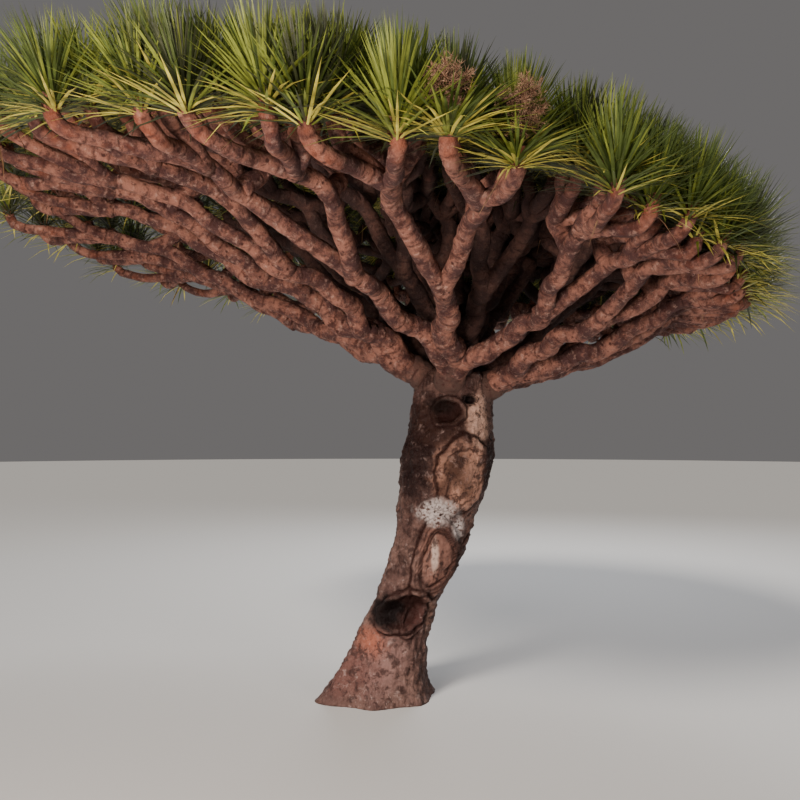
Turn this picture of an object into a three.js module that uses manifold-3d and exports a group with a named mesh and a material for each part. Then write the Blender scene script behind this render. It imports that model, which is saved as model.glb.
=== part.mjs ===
// Dragon blood tree: a short leaning trunk, boughs that fan out like the ribs of an umbrella,
// and a dome of stiff sword leaves on top of them. Millimetres, +Z up. The origin is the centre
// of the flat cut at ground level, and -Y is the side that the tree is mostly looked at from.
import * as THREE from "three";
import { mergeVertices } from "three/addons/utils/BufferGeometryUtils.js";
import Module from "manifold-3d";

// Clearance between two pieces that touch.
const GAP = 0.3;

// The trunk from the ground up: height, how far its middle has drifted towards +X, and radius.
const TRUNK_STATIONS = [
  [0, 0, 300],
  [180, 5, 272],
  [400, 40, 250],
  [690, 140, 242],
  [1000, 270, 256],
  [1300, 358, 290],
  [1600, 425, 338],
  [1800, 452, 346],
  [2020, 478, 318],
  [2200, 492, 306],
  [2370, 500, 296],
];
const TRUNK_SIDES = 24;
const TRUNK_RINGS = 20;

// The head above the last station: how high it domes, in how many rings, and radians from each
// ring to the next.
const HEAD_DOME = 120;
const HEAD_RINGS = 3;
const HEAD_STEP = 0.45;

// Root ridges at the foot: bearing in degrees, how far each stands out, and how high it climbs.
const ROOT_RIDGES = [
  [-72, 260, 280],
  [-20, 80, 200],
  [50, 60, 160],
  [115, 90, 200],
  [180, 90, 200],
  [-130, 130, 230],
];
const RIDGE_HALF_WIDTH = 26;

// Healed scars and the hollow: bearing, height, half width and half height, and relief outwards.
const TRUNK_SCARS = [
  [22, 1670, 180, 240, 34],
  [18, 1040, 150, 270, 30],
  [-5, 660, 185, 135, -62],
  [-8, 2130, 120, 90, -34],
];

// The crown: where the boughs fan out from, and the dome that the twigs end on.
const HUB = new THREE.Vector3(500, 0, 2270);
const DOME_HALF_WIDTH = 3800;
const DOME_RISE = 1610;
const DOME_SHIFT = 1080;
const DOME_SHIFT_BEARING = -107;
const CROWN_TILT = 8;
const CROWN_TILT_BEARING = 120;

// The rings of boughs. First how many, the first one's bearing, their rise above the rim's plane
// and how far below that they run. Towards one bearing, rise and sag grow by lift and sagSwing,
// and away from it they shrink.
const RINGS = [
  { name: "rim", count: 15, bearing: -6, rise: 26, sag: 3, lift: 5.5, sagSwing: 6 },
  { name: "mid", count: 9, bearing: 8, rise: 45, sag: 4, lift: 5, sagSwing: 6 },
  { name: "top", count: 5, bearing: 30, rise: 70, sag: 0, lift: 0, sagSwing: 0 },
];
const LIFT_BEARING = 130;

// How each ring leaves the trunk: distance out from the hub, height above it and lean outwards.
// Then how far its forks spread across and upwards, in radians seen from the hub.
const RING_ROOTS = {
  rim: { out: 110, up: -40, lean: 0.8, across: 0.1, over: 0.055 },
  mid: { out: 105, up: 40, lean: 0.5, across: 0.12, over: 0.11 },
  top: { out: 50, up: 90, lean: 0.3, across: 0.12, over: 0.11 },
};
const BEARING_JITTER = 3;
const RISE_JITTER = 2.5;
const SEED = 2024;
const BOUGH_SEEDS = 1e6;

// Boughs: every third one in a ring rises from the trunk, and the two beside it fork off that one.
// A bough ends at its share of the way from the hub to the dome, turned up a little.
const FORK_EVERY = 3;
const FORK_AT = [0.16, 0.34];
const BOUGH_SHARE = 0.42;
const BOUGH_END_LIFT = 0.12;
const MAIN_RADII = [118, 70];
const SIDE_RADII = [86, 64];
const BOUGH_SIDES = 7;
const BOUGH_RINGS = 5;

// How a limb bends: the share of its length over which it turns into its two end directions, the
// share it sways sideways, the share of that it sways up and down, and how many times.
const BEND_SHARE = 0.36;
const SWAY_SHARE = 0.03;
const SWAY_UP = 0.6;
const SWAY_TURNS = 1.6;
const SWAY_UP_TURNS = 2.1;

// Foliage: a shoot goes on from each bough and forks in two twice over. Shares are of the way from
// the hub to the dome. The forks lie low in their part of the crown, in spreads from its middle,
// and keep a share of the bough's sag.
const FORK_SHARE = 0.49;
const FORK_LOW = 0.7;
const FORK_SAG = 0.8;
const TWIG_SHARE = 0.74;
const TWIG_LOW = 0.3;
const TWIG_SAG = 0.4;
const FORK_JITTER = 0.15;

// Where the dome lies further from the hub than the first figure, twigs spread higher, by the
// second figure for each millimetre.
const STRETCH_FROM = 2600;
const STRETCH_RATE = 0.0007;
const STEM_LEAD = 60;
const SHOOT_SIDES = 5;
const SHOOT_RADII = [64, 62, 56, 48];
const SHOOT_RINGS = [4, 3, 2];

// The rosette on each tip: how far its axis turns up, the rings of its core as height and radius,
// and for the two tiers of blades their lean from the axis in degrees.
const TIP_LIFT = 1.5;
const ROSETTE_RINGS = [
  [-18, 74],
  [18, 78],
  [56, 56],
];
const ROSETTE_NECK = 48;
const ROSETTE_PEAK = 20;
const LEAF_LEANS = [80, 36];
const LEAN_JITTER = 9;
const LEAF_LENGTH = 420;
const LENGTH_JITTER = 0.15;

// Sizes tried in turn until a twig or a blade keeps to its own cell of the crown, and how clear of
// the cell's walls it keeps. Boughs further apart than the last angle share no wall.
const SIZES_TRIED = [1, 0.85, 0.7, 0.55];
const CELL_CLEARANCE = 3;
const TIP_CLEARANCE = 100;
const NEIGHBOUR_ANGLE = 1.2;

// Two ways whose cross product is shorter than this are taken as parallel.
const PARALLEL = 0.1;
const SMALLEST_DETAIL = 0.1;

const UP = new THREE.Vector3(0, 0, 1);
const radians = THREE.MathUtils.degToRad;

const wasm = await Module();
wasm.setup();

// A stream of numbers that looks random and is the same each run: each state is the one before
// times a factor, wrapped at a prime.
class Chance {
  static FACTOR = 48271;
  static PRIME = 2147483647;

  constructor(seed) {
    this.state = seed;
  }

  next() {
    this.state = (this.state * Chance.FACTOR) % Chance.PRIME;
    return this.state / Chance.PRIME;
  }

  spread(size) {
    return (2 * this.next() - 1) * size;
  }
}

// A unit vector from a bearing, 0 towards -Y and 90 towards +X, and a rise above level.
function wayOf(bearing, rise) {
  const b = radians(bearing);
  const r = radians(rise);
  return new THREE.Vector3(Math.sin(b) * Math.cos(r), -Math.cos(b) * Math.cos(r), Math.sin(r));
}

const crownTurn = new THREE.Quaternion().setFromUnitVectors(
  UP,
  wayOf(CROWN_TILT_BEARING, 90 - CROWN_TILT),
);
const crownWay = (bearing, rise) => wayOf(bearing, rise).applyQuaternion(crownTurn);

// How far the dome lies from the hub along a unit vector.
function domeReach(way) {
  const back = crownTurn.clone().invert();
  const squash = new THREE.Vector3(1 / DOME_HALF_WIDTH, 1 / DOME_HALF_WIDTH, 1 / DOME_RISE);
  const w = way.clone().applyQuaternion(back).multiply(squash);
  const c = wayOf(DOME_SHIFT_BEARING, 0).multiplyScalar(DOME_SHIFT).multiply(squash);
  const a = w.dot(w);
  const b = w.dot(c);
  return (b + Math.sqrt(b * b - a * (c.dot(c) - 1))) / a;
}
const domePoint = (way, share) => HUB.clone().addScaledVector(way, domeReach(way) * share);

// A limb's middle line: a Bezier curve that sways from side to side, as an old fork leaves it.
class LimbPath extends THREE.Curve {
  constructor(start, startWay, end, endWay, phase) {
    super();
    const length = start.distanceTo(end);
    const reach = length * BEND_SHARE;
    this.sway = length * SWAY_SHARE;
    const leave = start.clone().addScaledVector(startWay, reach);
    const arrive = end.clone().addScaledVector(endWay, -reach);
    this.bezier = new THREE.CubicBezierCurve3(start, leave, arrive, end);
    const along = end.clone().sub(start).normalize();
    this.side = new THREE.Vector3().crossVectors(along, UP);
    if (this.side.length() < PARALLEL) this.side.set(1, 0, 0);
    this.side.normalize();
    this.lift = new THREE.Vector3().crossVectors(this.side, along);
    this.phase = phase;
  }

  getPoint(t) {
    const size = this.sway * Math.sin(Math.PI * t);
    const turn = 2 * Math.PI * (SWAY_TURNS * t + this.phase);
    const turnUp = 2 * Math.PI * (SWAY_UP_TURNS * t + this.phase);
    return this.bezier
      .getPoint(t)
      .addScaledVector(this.side, size * Math.sin(turn))
      .addScaledVector(this.lift, SWAY_UP * size * Math.cos(turnUp));
  }
}

// The skeleton: each bough's path, radii and cell of the crown, mains before the boughs they carry.
function planBoughs() {
  const chance = new Chance(SEED);
  const boughs = [];
  for (const ring of RINGS) {
    for (let i = 0; i < ring.count; i++) {
      const bearing = ring.bearing + (360 * i) / ring.count + chance.spread(BEARING_JITTER);
      const swing = Math.cos(radians(bearing - LIFT_BEARING));
      const rise = ring.rise + ring.lift * swing + chance.spread(RISE_JITTER);
      const sag = ring.sag + ring.sagSwing * swing;
      boughs.push({
        name: `${ring.name}_${String(i + 1).padStart(2, "0")}`,
        ring,
        root: RING_ROOTS[ring.name],
        index: i,
        bearing,
        way: crownWay(bearing, rise),
        lowWay: crownWay(bearing, rise - sag),
        sag: radians(sag),
        phase: chance.next(),
        forkAt: THREE.MathUtils.lerp(FORK_AT[0], FORK_AT[1], chance.next()),
        seed: 1 + Math.floor(chance.next() * BOUGH_SEEDS),
      });
    }
  }
  const isMain = (bough) => bough.index % FORK_EVERY === 0;
  for (const bough of boughs.filter(isMain)) {
    const out = crownWay(bough.bearing, 0);
    const root = HUB.clone().addScaledVector(out, bough.root.out);
    root.z += bough.root.up;
    const startWay = out.multiplyScalar(bough.root.lean).add(UP).normalize();
    bough.path = limbTo(root, startWay, bough);
    bough.radii = MAIN_RADII;
  }
  for (const bough of boughs.filter((b) => !isMain(b))) {
    const beside = bough.index % FORK_EVERY === 1 ? -1 : 1;
    const count = bough.ring.count;
    const parentIndex = (bough.index + beside + count) % count;
    const parent = boughs.find((b) => b.ring === bough.ring && b.index === parentIndex);
    const startWay = parent.path.getTangent(bough.forkAt).add(bough.lowWay).normalize();
    bough.path = limbTo(parent.path.getPoint(bough.forkAt), startWay, bough);
    bough.radii = SIDE_RADII;
  }
  return [...boughs.filter(isMain), ...boughs.filter((b) => !isMain(b))];
}

// A bough's path from where it starts to the low end of its part of the crown.
function limbTo(start, startWay, bough) {
  const end = domePoint(bough.lowWay, BOUGH_SHARE);
  const endWay = bough.way.clone().addScaledVector(UP, BOUGH_END_LIFT).normalize();
  return new LimbPath(start, startWay, end, endWay, bough.phase);
}

// A geometry with nothing but its corners, each of them once.
function bare(geometry) {
  geometry.deleteAttribute("normal");
  geometry.deleteAttribute("uv");
  return mergeVertices(geometry);
}

function solidOf(corners, faces) {
  return new wasm.Manifold(
    new wasm.Mesh({
      numProp: 3,
      vertProperties: new Float32Array(corners.flatMap((c) => [c.x, c.y, c.z])),
      triVerts: new Uint32Array(faces),
    }),
  );
}

// Rings along a path, one after another, that a skin is stretched over.
function rowsAlong(path, radii, rings, grow = 0) {
  const frames = path.computeFrenetFrames(rings);
  return frames.tangents.map((way, ring) => ({
    middle: path.getPointAt(ring / rings),
    way,
    right: frames.normals[ring],
    over: frames.binormals[ring],
    radius: THREE.MathUtils.lerp(radii[0], radii[1], ring / rings) + grow,
    peak: 0,
  }));
}

// A solid over a row of rings. Where pointOf gives a side face a point, the face is drawn out to it.
function skin(rows, sides, pointOf = () => undefined) {
  const last = rows.length - 1;
  const geometry = bare(new THREE.CylinderGeometry(1, 1, 1, sides, last));
  const at = geometry.attributes.position;
  const corners = [];
  const rings = [];
  for (let i = 0; i < at.count; i++) {
    const x = at.getX(i);
    const z = at.getZ(i);
    const ring = Math.round((at.getY(i) + 0.5) * last);
    const row = rows[ring];
    const isEnd = Math.hypot(x, z) < 0.5;
    corners.push(
      row.middle
        .clone()
        .addScaledVector(row.right, x * row.radius)
        .addScaledVector(row.over, -z * row.radius)
        .addScaledVector(row.way, isEnd ? row.peak : 0),
    );
    rings.push(isEnd ? -1 : ring);
  }
  const index = [...geometry.index.array];
  const faces = [];
  for (let f = 0; f < index.length; f += 6) {
    const pair = index.slice(f, f + 6);
    const ring = Math.min(...pair.map((i) => rings[i]));
    const point = ring < 0 ? undefined : pointOf(ring, [...new Set(pair)].map((i) => corners[i]));
    if (point) {
      const added = corners.push(point) - 1;
      for (const [from, to] of rimOf(pair)) faces.push(from, to, added);
    } else {
      faces.push(...pair);
    }
  }
  return solidOf(corners, faces);
}

// The edges round two faces that share one edge.
function rimOf(pair) {
  const edges = pair.map((from, k) => [from, pair[3 * Math.floor(k / 3) + ((k + 1) % 3)]]);
  return edges.filter(([a, b]) => !edges.some(([c, d]) => a === d && b === c));
}

function boughSolid(bough, grow = 0) {
  return skin(rowsAlong(bough.path, bough.radii, BOUGH_RINGS, grow), BOUGH_SIDES);
}

// The value of one column of a table at a height, on a smooth curve through the rows.
function station(height, column) {
  const rows = TRUNK_STATIONS;
  const last = rows.length - 1;
  const slopeAt = (i) => {
    const a = rows[Math.max(i - 1, 0)];
    const b = rows[Math.min(i + 1, last)];
    return (b[column] - a[column]) / (b[0] - a[0]);
  };
  let i = 0;
  while (i < last - 1 && height > rows[i + 1][0]) i++;
  const span = rows[i + 1][0] - rows[i][0];
  const t = (height - rows[i][0]) / span;
  return (
    rows[i][column] * (2 * t ** 3 - 3 * t ** 2 + 1) +
    slopeAt(i) * span * (t ** 3 - 2 * t ** 2 + t) +
    rows[i + 1][column] * (3 * t ** 2 - 2 * t ** 3) +
    slopeAt(i + 1) * span * (t ** 3 - t ** 2)
  );
}

// Degrees from one bearing to another, from -180 to 180.
const turnBetween = (from, to) => ((((to - from) % 360) + 540) % 360) - 180;

// The trunk's radius at a height and bearing, with root ridges, scars and the hollow.
function trunkRadius(height, bearing) {
  const round = station(height, 2);
  const ridges = ROOT_RIDGES.reduce((sum, [at, out, climb]) => {
    const turn = turnBetween(at, bearing) / RIDGE_HALF_WIDTH;
    return sum + out * Math.exp(-turn * turn) * Math.exp(-height / climb);
  }, 0);
  const relief = TRUNK_SCARS.reduce((sum, [at, level, halfWidth, halfHeight, out]) => {
    const x = (radians(turnBetween(at, bearing)) * round) / halfWidth;
    const z = (height - level) / halfHeight;
    return sum + out * Math.exp(-(x * x + z * z));
  }, 0);
  return round + ridges + relief;
}

// The trunk: level rings from the flat cut at the ground to the head that the boughs rise from.
function trunkSolid(grow = 0) {
  const geometry = bare(new THREE.CylinderGeometry(1, 1, 1, TRUNK_SIDES, TRUNK_RINGS));
  const at = geometry.attributes.position;
  const top = TRUNK_STATIONS.at(-1)[0];
  const wall = TRUNK_RINGS - HEAD_RINGS;
  const corners = [];
  for (let i = 0; i < at.count; i++) {
    const ring = Math.round((at.getY(i) + 0.5) * TRUNK_RINGS);
    const onWall = Math.min(ring, wall);
    const height = (top * onWall) / wall;
    const dome = (ring - onWall) * HEAD_STEP;
    const isEnd = Math.hypot(at.getX(i), at.getZ(i)) < 0.5;
    const bearing = THREE.MathUtils.radToDeg(Math.atan2(at.getX(i), at.getZ(i)));
    const radius = isEnd ? 0 : trunkRadius(height, bearing) * Math.cos(dome) + grow;
    const out = wayOf(bearing, 0).multiplyScalar(radius);
    const lift = HEAD_DOME * Math.sin(dome) + (ring > wall ? grow : 0);
    corners.push(out.add(new THREE.Vector3(station(height, 1), 0, height + lift)));
  }
  return solidOf(corners, geometry.index.array);
}

// Whether a point keeps to one cell of the crown, which is nearer its bough than any other.
function cellTest(bough, boughs) {
  const walls = boughs
    .filter((other) => other.way !== bough.way && other.way.angleTo(bough.way) < NEIGHBOUR_ANGLE)
    .map((other) => bough.way.clone().sub(other.way).normalize());
  return (point, clearance = CELL_CLEARANCE) => {
    const from = point.clone().sub(HUB);
    return walls.every((wall) => wall.dot(from) > clearance);
  };
}

// The point of the blade drawn out of a foot, shorter where the crown leaves it less room.
function leafPoint(foot, tip, axis, lean, isClear, chance) {
  const middle = new THREE.Vector3();
  for (const corner of foot) middle.addScaledVector(corner, 1 / foot.length);
  const out = middle.clone().sub(tip);
  out.addScaledVector(axis, -out.dot(axis)).normalize();
  const angle = radians(lean + chance.spread(LEAN_JITTER));
  const way = axis.clone().multiplyScalar(Math.cos(angle)).addScaledVector(out, Math.sin(angle));
  const length = LEAF_LENGTH * (1 - LENGTH_JITTER * chance.next());
  return SIZES_TRIED.map((size) => middle.clone().addScaledVector(way, length * size)).find((point) =>
    isClear(foot, point),
  );
}

// One shoot with its rosette, from a row of points that its tip follows.
function shootSolid(points, radii, rings, tip, axis, isClear, chance) {
  const neck = [2, 1].map((far) => tip.clone().addScaledVector(axis, -ROSETTE_NECK * far));
  const path = new THREE.CatmullRomCurve3([...points, ...neck]);
  const rows = rowsAlong(path, radii, rings);
  const last = rows.at(-1);
  const over = new THREE.Vector3().crossVectors(axis, last.right).normalize();
  const right = new THREE.Vector3().crossVectors(over, axis);
  for (const [height, radius] of ROSETTE_RINGS) {
    const middle = tip.clone().addScaledVector(axis, height);
    rows.push({ middle, way: axis, right, over, radius, peak: ROSETTE_PEAK });
  }
  return skin(rows, SHOOT_SIDES, (ring, foot) => {
    const lean = LEAF_LEANS[ring - rings - 1];
    return lean === undefined ? undefined : leafPoint(foot, tip, axis, lean, isClear, chance);
  });
}

// One mass of foliage: a shoot that goes on from a bough's tip and forks in two twice over.
function foliageSolid(bough, boughs, limbs) {
  const chance = new Chance(bough.seed);
  const inCell = cellTest(bough, boughs);
  const across = new THREE.Vector3().crossVectors(UP, bough.way).normalize();
  const over = new THREE.Vector3().crossVectors(bough.way, across);
  const sag = bough.sag / bough.root.over;
  const stretch = 1 + STRETCH_RATE * Math.max(domeReach(bough.way) - STRETCH_FROM, 0);
  const wayTo = (x, y) => {
    const high = y > 0 ? y * stretch : y;
    const aside = across.clone().multiplyScalar((x + chance.spread(FORK_JITTER)) * bough.root.across);
    aside.addScaledVector(over, (high + chance.spread(FORK_JITTER)) * bough.root.over);
    const ways = SIZES_TRIED.map((size) => bough.way.clone().addScaledVector(aside, size).normalize());
    return ways.find((way) => inCell(domePoint(way, 1), TIP_CLEARANCE)) ?? ways.at(-1);
  };
  const boughWay = bough.path.getTangent(1);
  const root = bough.path.getPoint(1).addScaledVector(boughWay, GAP);
  const stem = [root, root.clone().addScaledVector(boughWay, STEM_LEAD)];
  const fork = domePoint(wayTo(0, -FORK_LOW - FORK_SAG * sag), FORK_SHARE);
  const shoots = [];
  for (const x of [-1, 1]) {
    const twigFork = domePoint(wayTo(x, -TWIG_LOW - TWIG_SAG * sag), TWIG_SHARE);
    for (const y of [-1, 1]) {
      const way = wayTo(x, y);
      const order = shoots.length === 0 ? 0 : y < 0 ? 1 : 2;
      const points = [[...stem, fork, twigFork], [fork, twigFork], [twigFork]][order];
      shoots.push({ way, order, points });
    }
  }
  const parts = shoots.map((shoot) => {
    const tip = domePoint(shoot.way, 1);
    const axis = shoot.way.clone().addScaledVector(UP, TIP_LIFT).normalize();
    const inShare = cellTest(shoot, shoots);
    const isClear = (foot, point) =>
      [point, ...foot].every((corner) => inCell(corner)) &&
      inShare(point) &&
      limbs.every((limb) => limb.rayCast(foot[0].toArray(), point.toArray()).length === 0);
    const radii = [SHOOT_RADII[shoot.order], SHOOT_RADII.at(-1)];
    const rings = SHOOT_RINGS[shoot.order];
    return shootSolid(shoot.points, radii, rings, tip, axis, isClear, chance);
  });
  return largestOf(wasm.Manifold.union(parts));
}

// The largest body of a solid, where a cut has left a scrap beside it.
function largestOf(solid) {
  const bodies = solid.decompose().sort((a, b) => b.volume() - a.volume());
  return bodies[0].simplify(SMALLEST_DETAIL);
}

function meshOf(name, solid, material) {
  const made = solid.getMesh();
  const geometry = new THREE.BufferGeometry();
  geometry.setAttribute("position", new THREE.BufferAttribute(made.vertProperties, 3));
  geometry.setIndex(new THREE.BufferAttribute(made.triVerts, 1));
  geometry.computeVertexNormals();
  const mesh = new THREE.Mesh(geometry, material);
  mesh.name = name;
  return mesh;
}

const bark = new THREE.MeshStandardMaterial({ color: 0x8a6553, roughness: 0.9, metalness: 0 });
const limbBark = new THREE.MeshStandardMaterial({ color: 0x9a6a52, roughness: 0.85, metalness: 0 });
const leaf = new THREE.MeshStandardMaterial({ color: 0x5c7a2a, roughness: 0.6, metalness: 0 });

const tree = new THREE.Group();
tree.add(meshOf("trunk", trunkSolid(), bark));

const boughs = planBoughs();
const cutters = [trunkSolid(GAP)];
const limbs = [];
for (const bough of boughs) {
  const cut = largestOf(cutters.reduce((left, cutter) => left.subtract(cutter), boughSolid(bough)));
  cutters.push(boughSolid(bough, GAP));
  limbs.push(cut);
  tree.add(meshOf(`bough_${bough.name}`, cut, limbBark));
}
for (const bough of boughs) {
  tree.add(meshOf(`foliage_${bough.name}`, foliageSolid(bough, boughs, limbs), leaf));
}

export default tree;
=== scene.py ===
"""The looks of a dragon blood tree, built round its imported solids.

Metres throughout, +Z up. The tree is mostly looked at along +Y. The boughs, twigs and leaves grow
by the same seeded rule as the solids do, and go on to finer twigs within the same reach.
"""

import logging
import math
from dataclasses import dataclass, field
from enum import Enum
from typing import Callable, Iterable, Optional, Sequence

import bpy
import numpy as np
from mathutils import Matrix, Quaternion, Vector, noise


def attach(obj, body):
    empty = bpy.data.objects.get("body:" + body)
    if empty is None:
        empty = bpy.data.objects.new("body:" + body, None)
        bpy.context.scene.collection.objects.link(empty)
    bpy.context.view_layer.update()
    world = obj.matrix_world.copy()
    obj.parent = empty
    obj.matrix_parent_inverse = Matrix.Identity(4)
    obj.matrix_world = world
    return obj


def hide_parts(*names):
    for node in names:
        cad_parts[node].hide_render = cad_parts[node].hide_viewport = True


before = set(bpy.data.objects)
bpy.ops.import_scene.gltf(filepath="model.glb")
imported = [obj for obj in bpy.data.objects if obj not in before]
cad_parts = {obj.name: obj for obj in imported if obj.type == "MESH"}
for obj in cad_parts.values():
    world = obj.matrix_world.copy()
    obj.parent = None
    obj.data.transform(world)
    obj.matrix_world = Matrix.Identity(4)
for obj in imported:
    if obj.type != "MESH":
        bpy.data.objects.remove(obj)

log = logging.getLogger("tree")

BODY = "root"
UP = Vector((0.0, 0.0, 1.0))
FULL_TURN = 2 * math.pi
GOLDEN_TURN = math.radians(137.508)
# How far a twig's way is drawn in, tried in turn, when it would leave its cell
SIZES_TRIED = (1.0, 0.85, 0.7, 0.55)
# Two unit vectors whose cross product is shorter than this count as parallel
PARALLEL = 0.1
# A unit vector that climbs more than this counts as upright
UPRIGHT = 0.9
# The thinnest size that is divided by
TINY = 1e-6
# How many seeds there are to deal out
SEEDS = 1e6
Triple = tuple[float, float, float]
Colour = Triple
Socket = bpy.types.NodeSocket


class Chance:
    """A stream of numbers that looks random and is the same each run."""

    STEP = 48271
    SIZE = 2147483647

    def __init__(self, seed: int) -> None:
        """Starts the stream at a whole number."""
        self.state = seed

    def next(self) -> float:
        """The next number, from 0 to 1."""
        self.state = self.state * self.STEP % self.SIZE
        return self.state / self.SIZE

    def spread(self, size: float) -> float:
        """The next number, from -size to size."""
        return (2 * self.next() - 1) * size


def way_of(bearing: float, rise: float) -> Vector:
    """A unit vector.

    Args:
        bearing: degrees, 0 towards -Y and 90 towards +X.
        rise: degrees above level.

    Returns:
        The vector.
    """
    b = math.radians(bearing)
    r = math.radians(rise)
    return Vector((math.sin(b) * math.cos(r), -math.cos(b) * math.cos(r), math.sin(r)))


def grain(points: np.ndarray, scale: float, octaves: int = 4, rough: float = 0.6) -> np.ndarray:
    """Smooth noise at each point.

    Args:
        points: one row for each point.
        scale: how many swells there are to the metre.
        octaves: how many finer layers are added.
        rough: how quickly the finer layers fade; less is rougher.

    Returns:
        One value for each point, about -1 to 1.
    """
    rows = (points * scale).tolist()
    values = (noise.fractal(row, rough, 2.0, octaves) for row in rows)
    return np.fromiter(values, float, len(rows))


def smooth_step(value: np.ndarray, low: float, high: float) -> np.ndarray:
    """A soft step from 0 at low to 1 at high."""
    t = np.clip((value - low) / (high - low), 0, 1)
    return t * t * (3 - 2 * t)


def bell(value: np.ndarray, at: float, width: float) -> np.ndarray:
    """A smooth hump of height 1 round a value."""
    return np.exp(-(((value - at) / width) ** 2))


def square_to(ways: np.ndarray) -> np.ndarray:
    """Unit vectors at right angles to others.

    Args:
        ways: one unit vector, or one in each row.

    Returns:
        As many unit vectors.
    """
    seed = np.where(np.abs(ways[..., 2:3]) < UPRIGHT, [0.0, 0.0, 1.0], [1.0, 0.0, 0.0])
    across = np.cross(ways, seed)
    return across / np.linalg.norm(across, axis=-1, keepdims=True)


# Paths that limbs follow


class Path:
    """A line through space that is read evenly by its length."""

    DETAIL = 200
    STEP = 1e-4

    def point(self, t: float) -> Vector:
        """The point at a share of the line, from 0 to 1."""
        raise NotImplementedError

    def tangent(self, t: float) -> Vector:
        """The unit vector along the line at a share of it."""
        low, high = max(t - self.STEP, 0.0), min(t + self.STEP, 1.0)
        return (self.point(high) - self.point(low)).normalized()

    def lay_sides(self, start: Vector, end: Vector) -> None:
        """Sets the unit vectors across and over the line, which it sways along.

        Args:
            start: where the line starts.
            end: where it ends.
        """
        along = (end - start).normalized()
        side = along.cross(UP)
        self.side = (side if side.length >= PARALLEL else Vector((1, 0, 0))).normalized()
        self.lift = self.side.cross(along)

    def stations(self, count: int) -> np.ndarray:
        """Points that are evenly spaced along the line, ends included.

        Args:
            count: how many points.

        Returns:
            One row for each point.
        """
        fine = np.array([self.point(i / self.DETAIL) for i in range(self.DETAIL + 1)])
        steps = np.linalg.norm(np.diff(fine, axis=0), axis=1)
        run = np.concatenate([[0.0], np.cumsum(steps)])
        even = np.linspace(0, run[-1], count)
        return np.stack([np.interp(even, run, fine[:, axis]) for axis in range(3)], axis=1)


class LimbPath(Path):
    """A bough's middle line: a Bezier curve that sways, as old forks leave it."""

    BEND_SHARE = 0.36
    SWAY_SHARE = 0.03
    SWAY_UP = 0.6
    SWAY_TURNS = 1.6
    SWAY_UP_TURNS = 2.1

    def __init__(
        self, start: Vector, start_way: Vector, end: Vector, end_way: Vector, phase: float
    ) -> None:
        """Lays the line.

        Args:
            start: where it leaves from.
            start_way: the unit vector that it leaves along.
            end: where it arrives.
            end_way: the unit vector that it arrives along.
            phase: where its sway starts, from 0 to 1.
        """
        length = (end - start).length
        reach = length * self.BEND_SHARE
        self.sway = length * self.SWAY_SHARE
        self.corners = (start, start + start_way * reach, end - end_way * reach, end)
        self.lay_sides(start, end)
        self.phase = phase

    def point(self, t: float) -> Vector:
        """The point at a share of the line.

        Args:
            t: the share, from 0 to 1.

        Returns:
            The point.
        """
        a, b, c, d = self.corners
        u = 1 - t
        middle = a * u**3 + b * (3 * u * u * t) + c * (3 * u * t * t) + d * t**3
        size = self.sway * math.sin(math.pi * t)
        turn = FULL_TURN * (self.SWAY_TURNS * t + self.phase)
        turn_up = FULL_TURN * (self.SWAY_UP_TURNS * t + self.phase)
        aside = self.side * (size * math.sin(turn))
        return middle + aside + self.lift * (self.SWAY_UP * size * math.cos(turn_up))


class TwigPath(Path):
    """A smooth line through a row of points, with a light sway between its ends."""

    SWAY = 0.012
    SWAY_TURNS = 2.3

    def __init__(self, points: Sequence[Vector], phase: float) -> None:
        """Lays the line.

        Args:
            points: what it goes through.
            phase: where its sway starts, from 0 to 1.
        """
        first = points[0] * 2 - points[1]
        last = points[-1] * 2 - points[-2]
        self.points = [first, *points, last]
        self.lay_sides(points[0], points[-1])
        self.phase = phase

    def point(self, t: float) -> Vector:
        """The point at a share of the line.

        Args:
            t: the share, from 0 to 1.

        Returns:
            The point.
        """
        spans = len(self.points) - 3
        at = min(int(t * spans), spans - 1)
        a, b, c, d = self.points[at : at + 4]
        before, span, after = (
            math.sqrt(max((q - p).length, TINY)) for p, q in ((a, b), (b, c), (c, d))
        )
        leave = ((b - a) / before - (c - a) / (before + span) + (c - b) / span) * span
        arrive = ((c - b) / span - (d - b) / (span + after) + (d - c) / after) * span
        u = t * spans - at
        through = (
            b * (2 * u**3 - 3 * u**2 + 1)
            + leave * (u**3 - 2 * u**2 + u)
            + c * (3 * u**2 - 2 * u**3)
            + arrive * (u**3 - u**2)
        )
        size = self.SWAY * math.sin(math.pi * t)
        turn = FULL_TURN * (self.SWAY_TURNS * t + self.phase)
        return through + self.side * (size * math.sin(turn)) + self.lift * (size * math.cos(turn))


# The skeleton, by the rule that the solids follow


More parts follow.
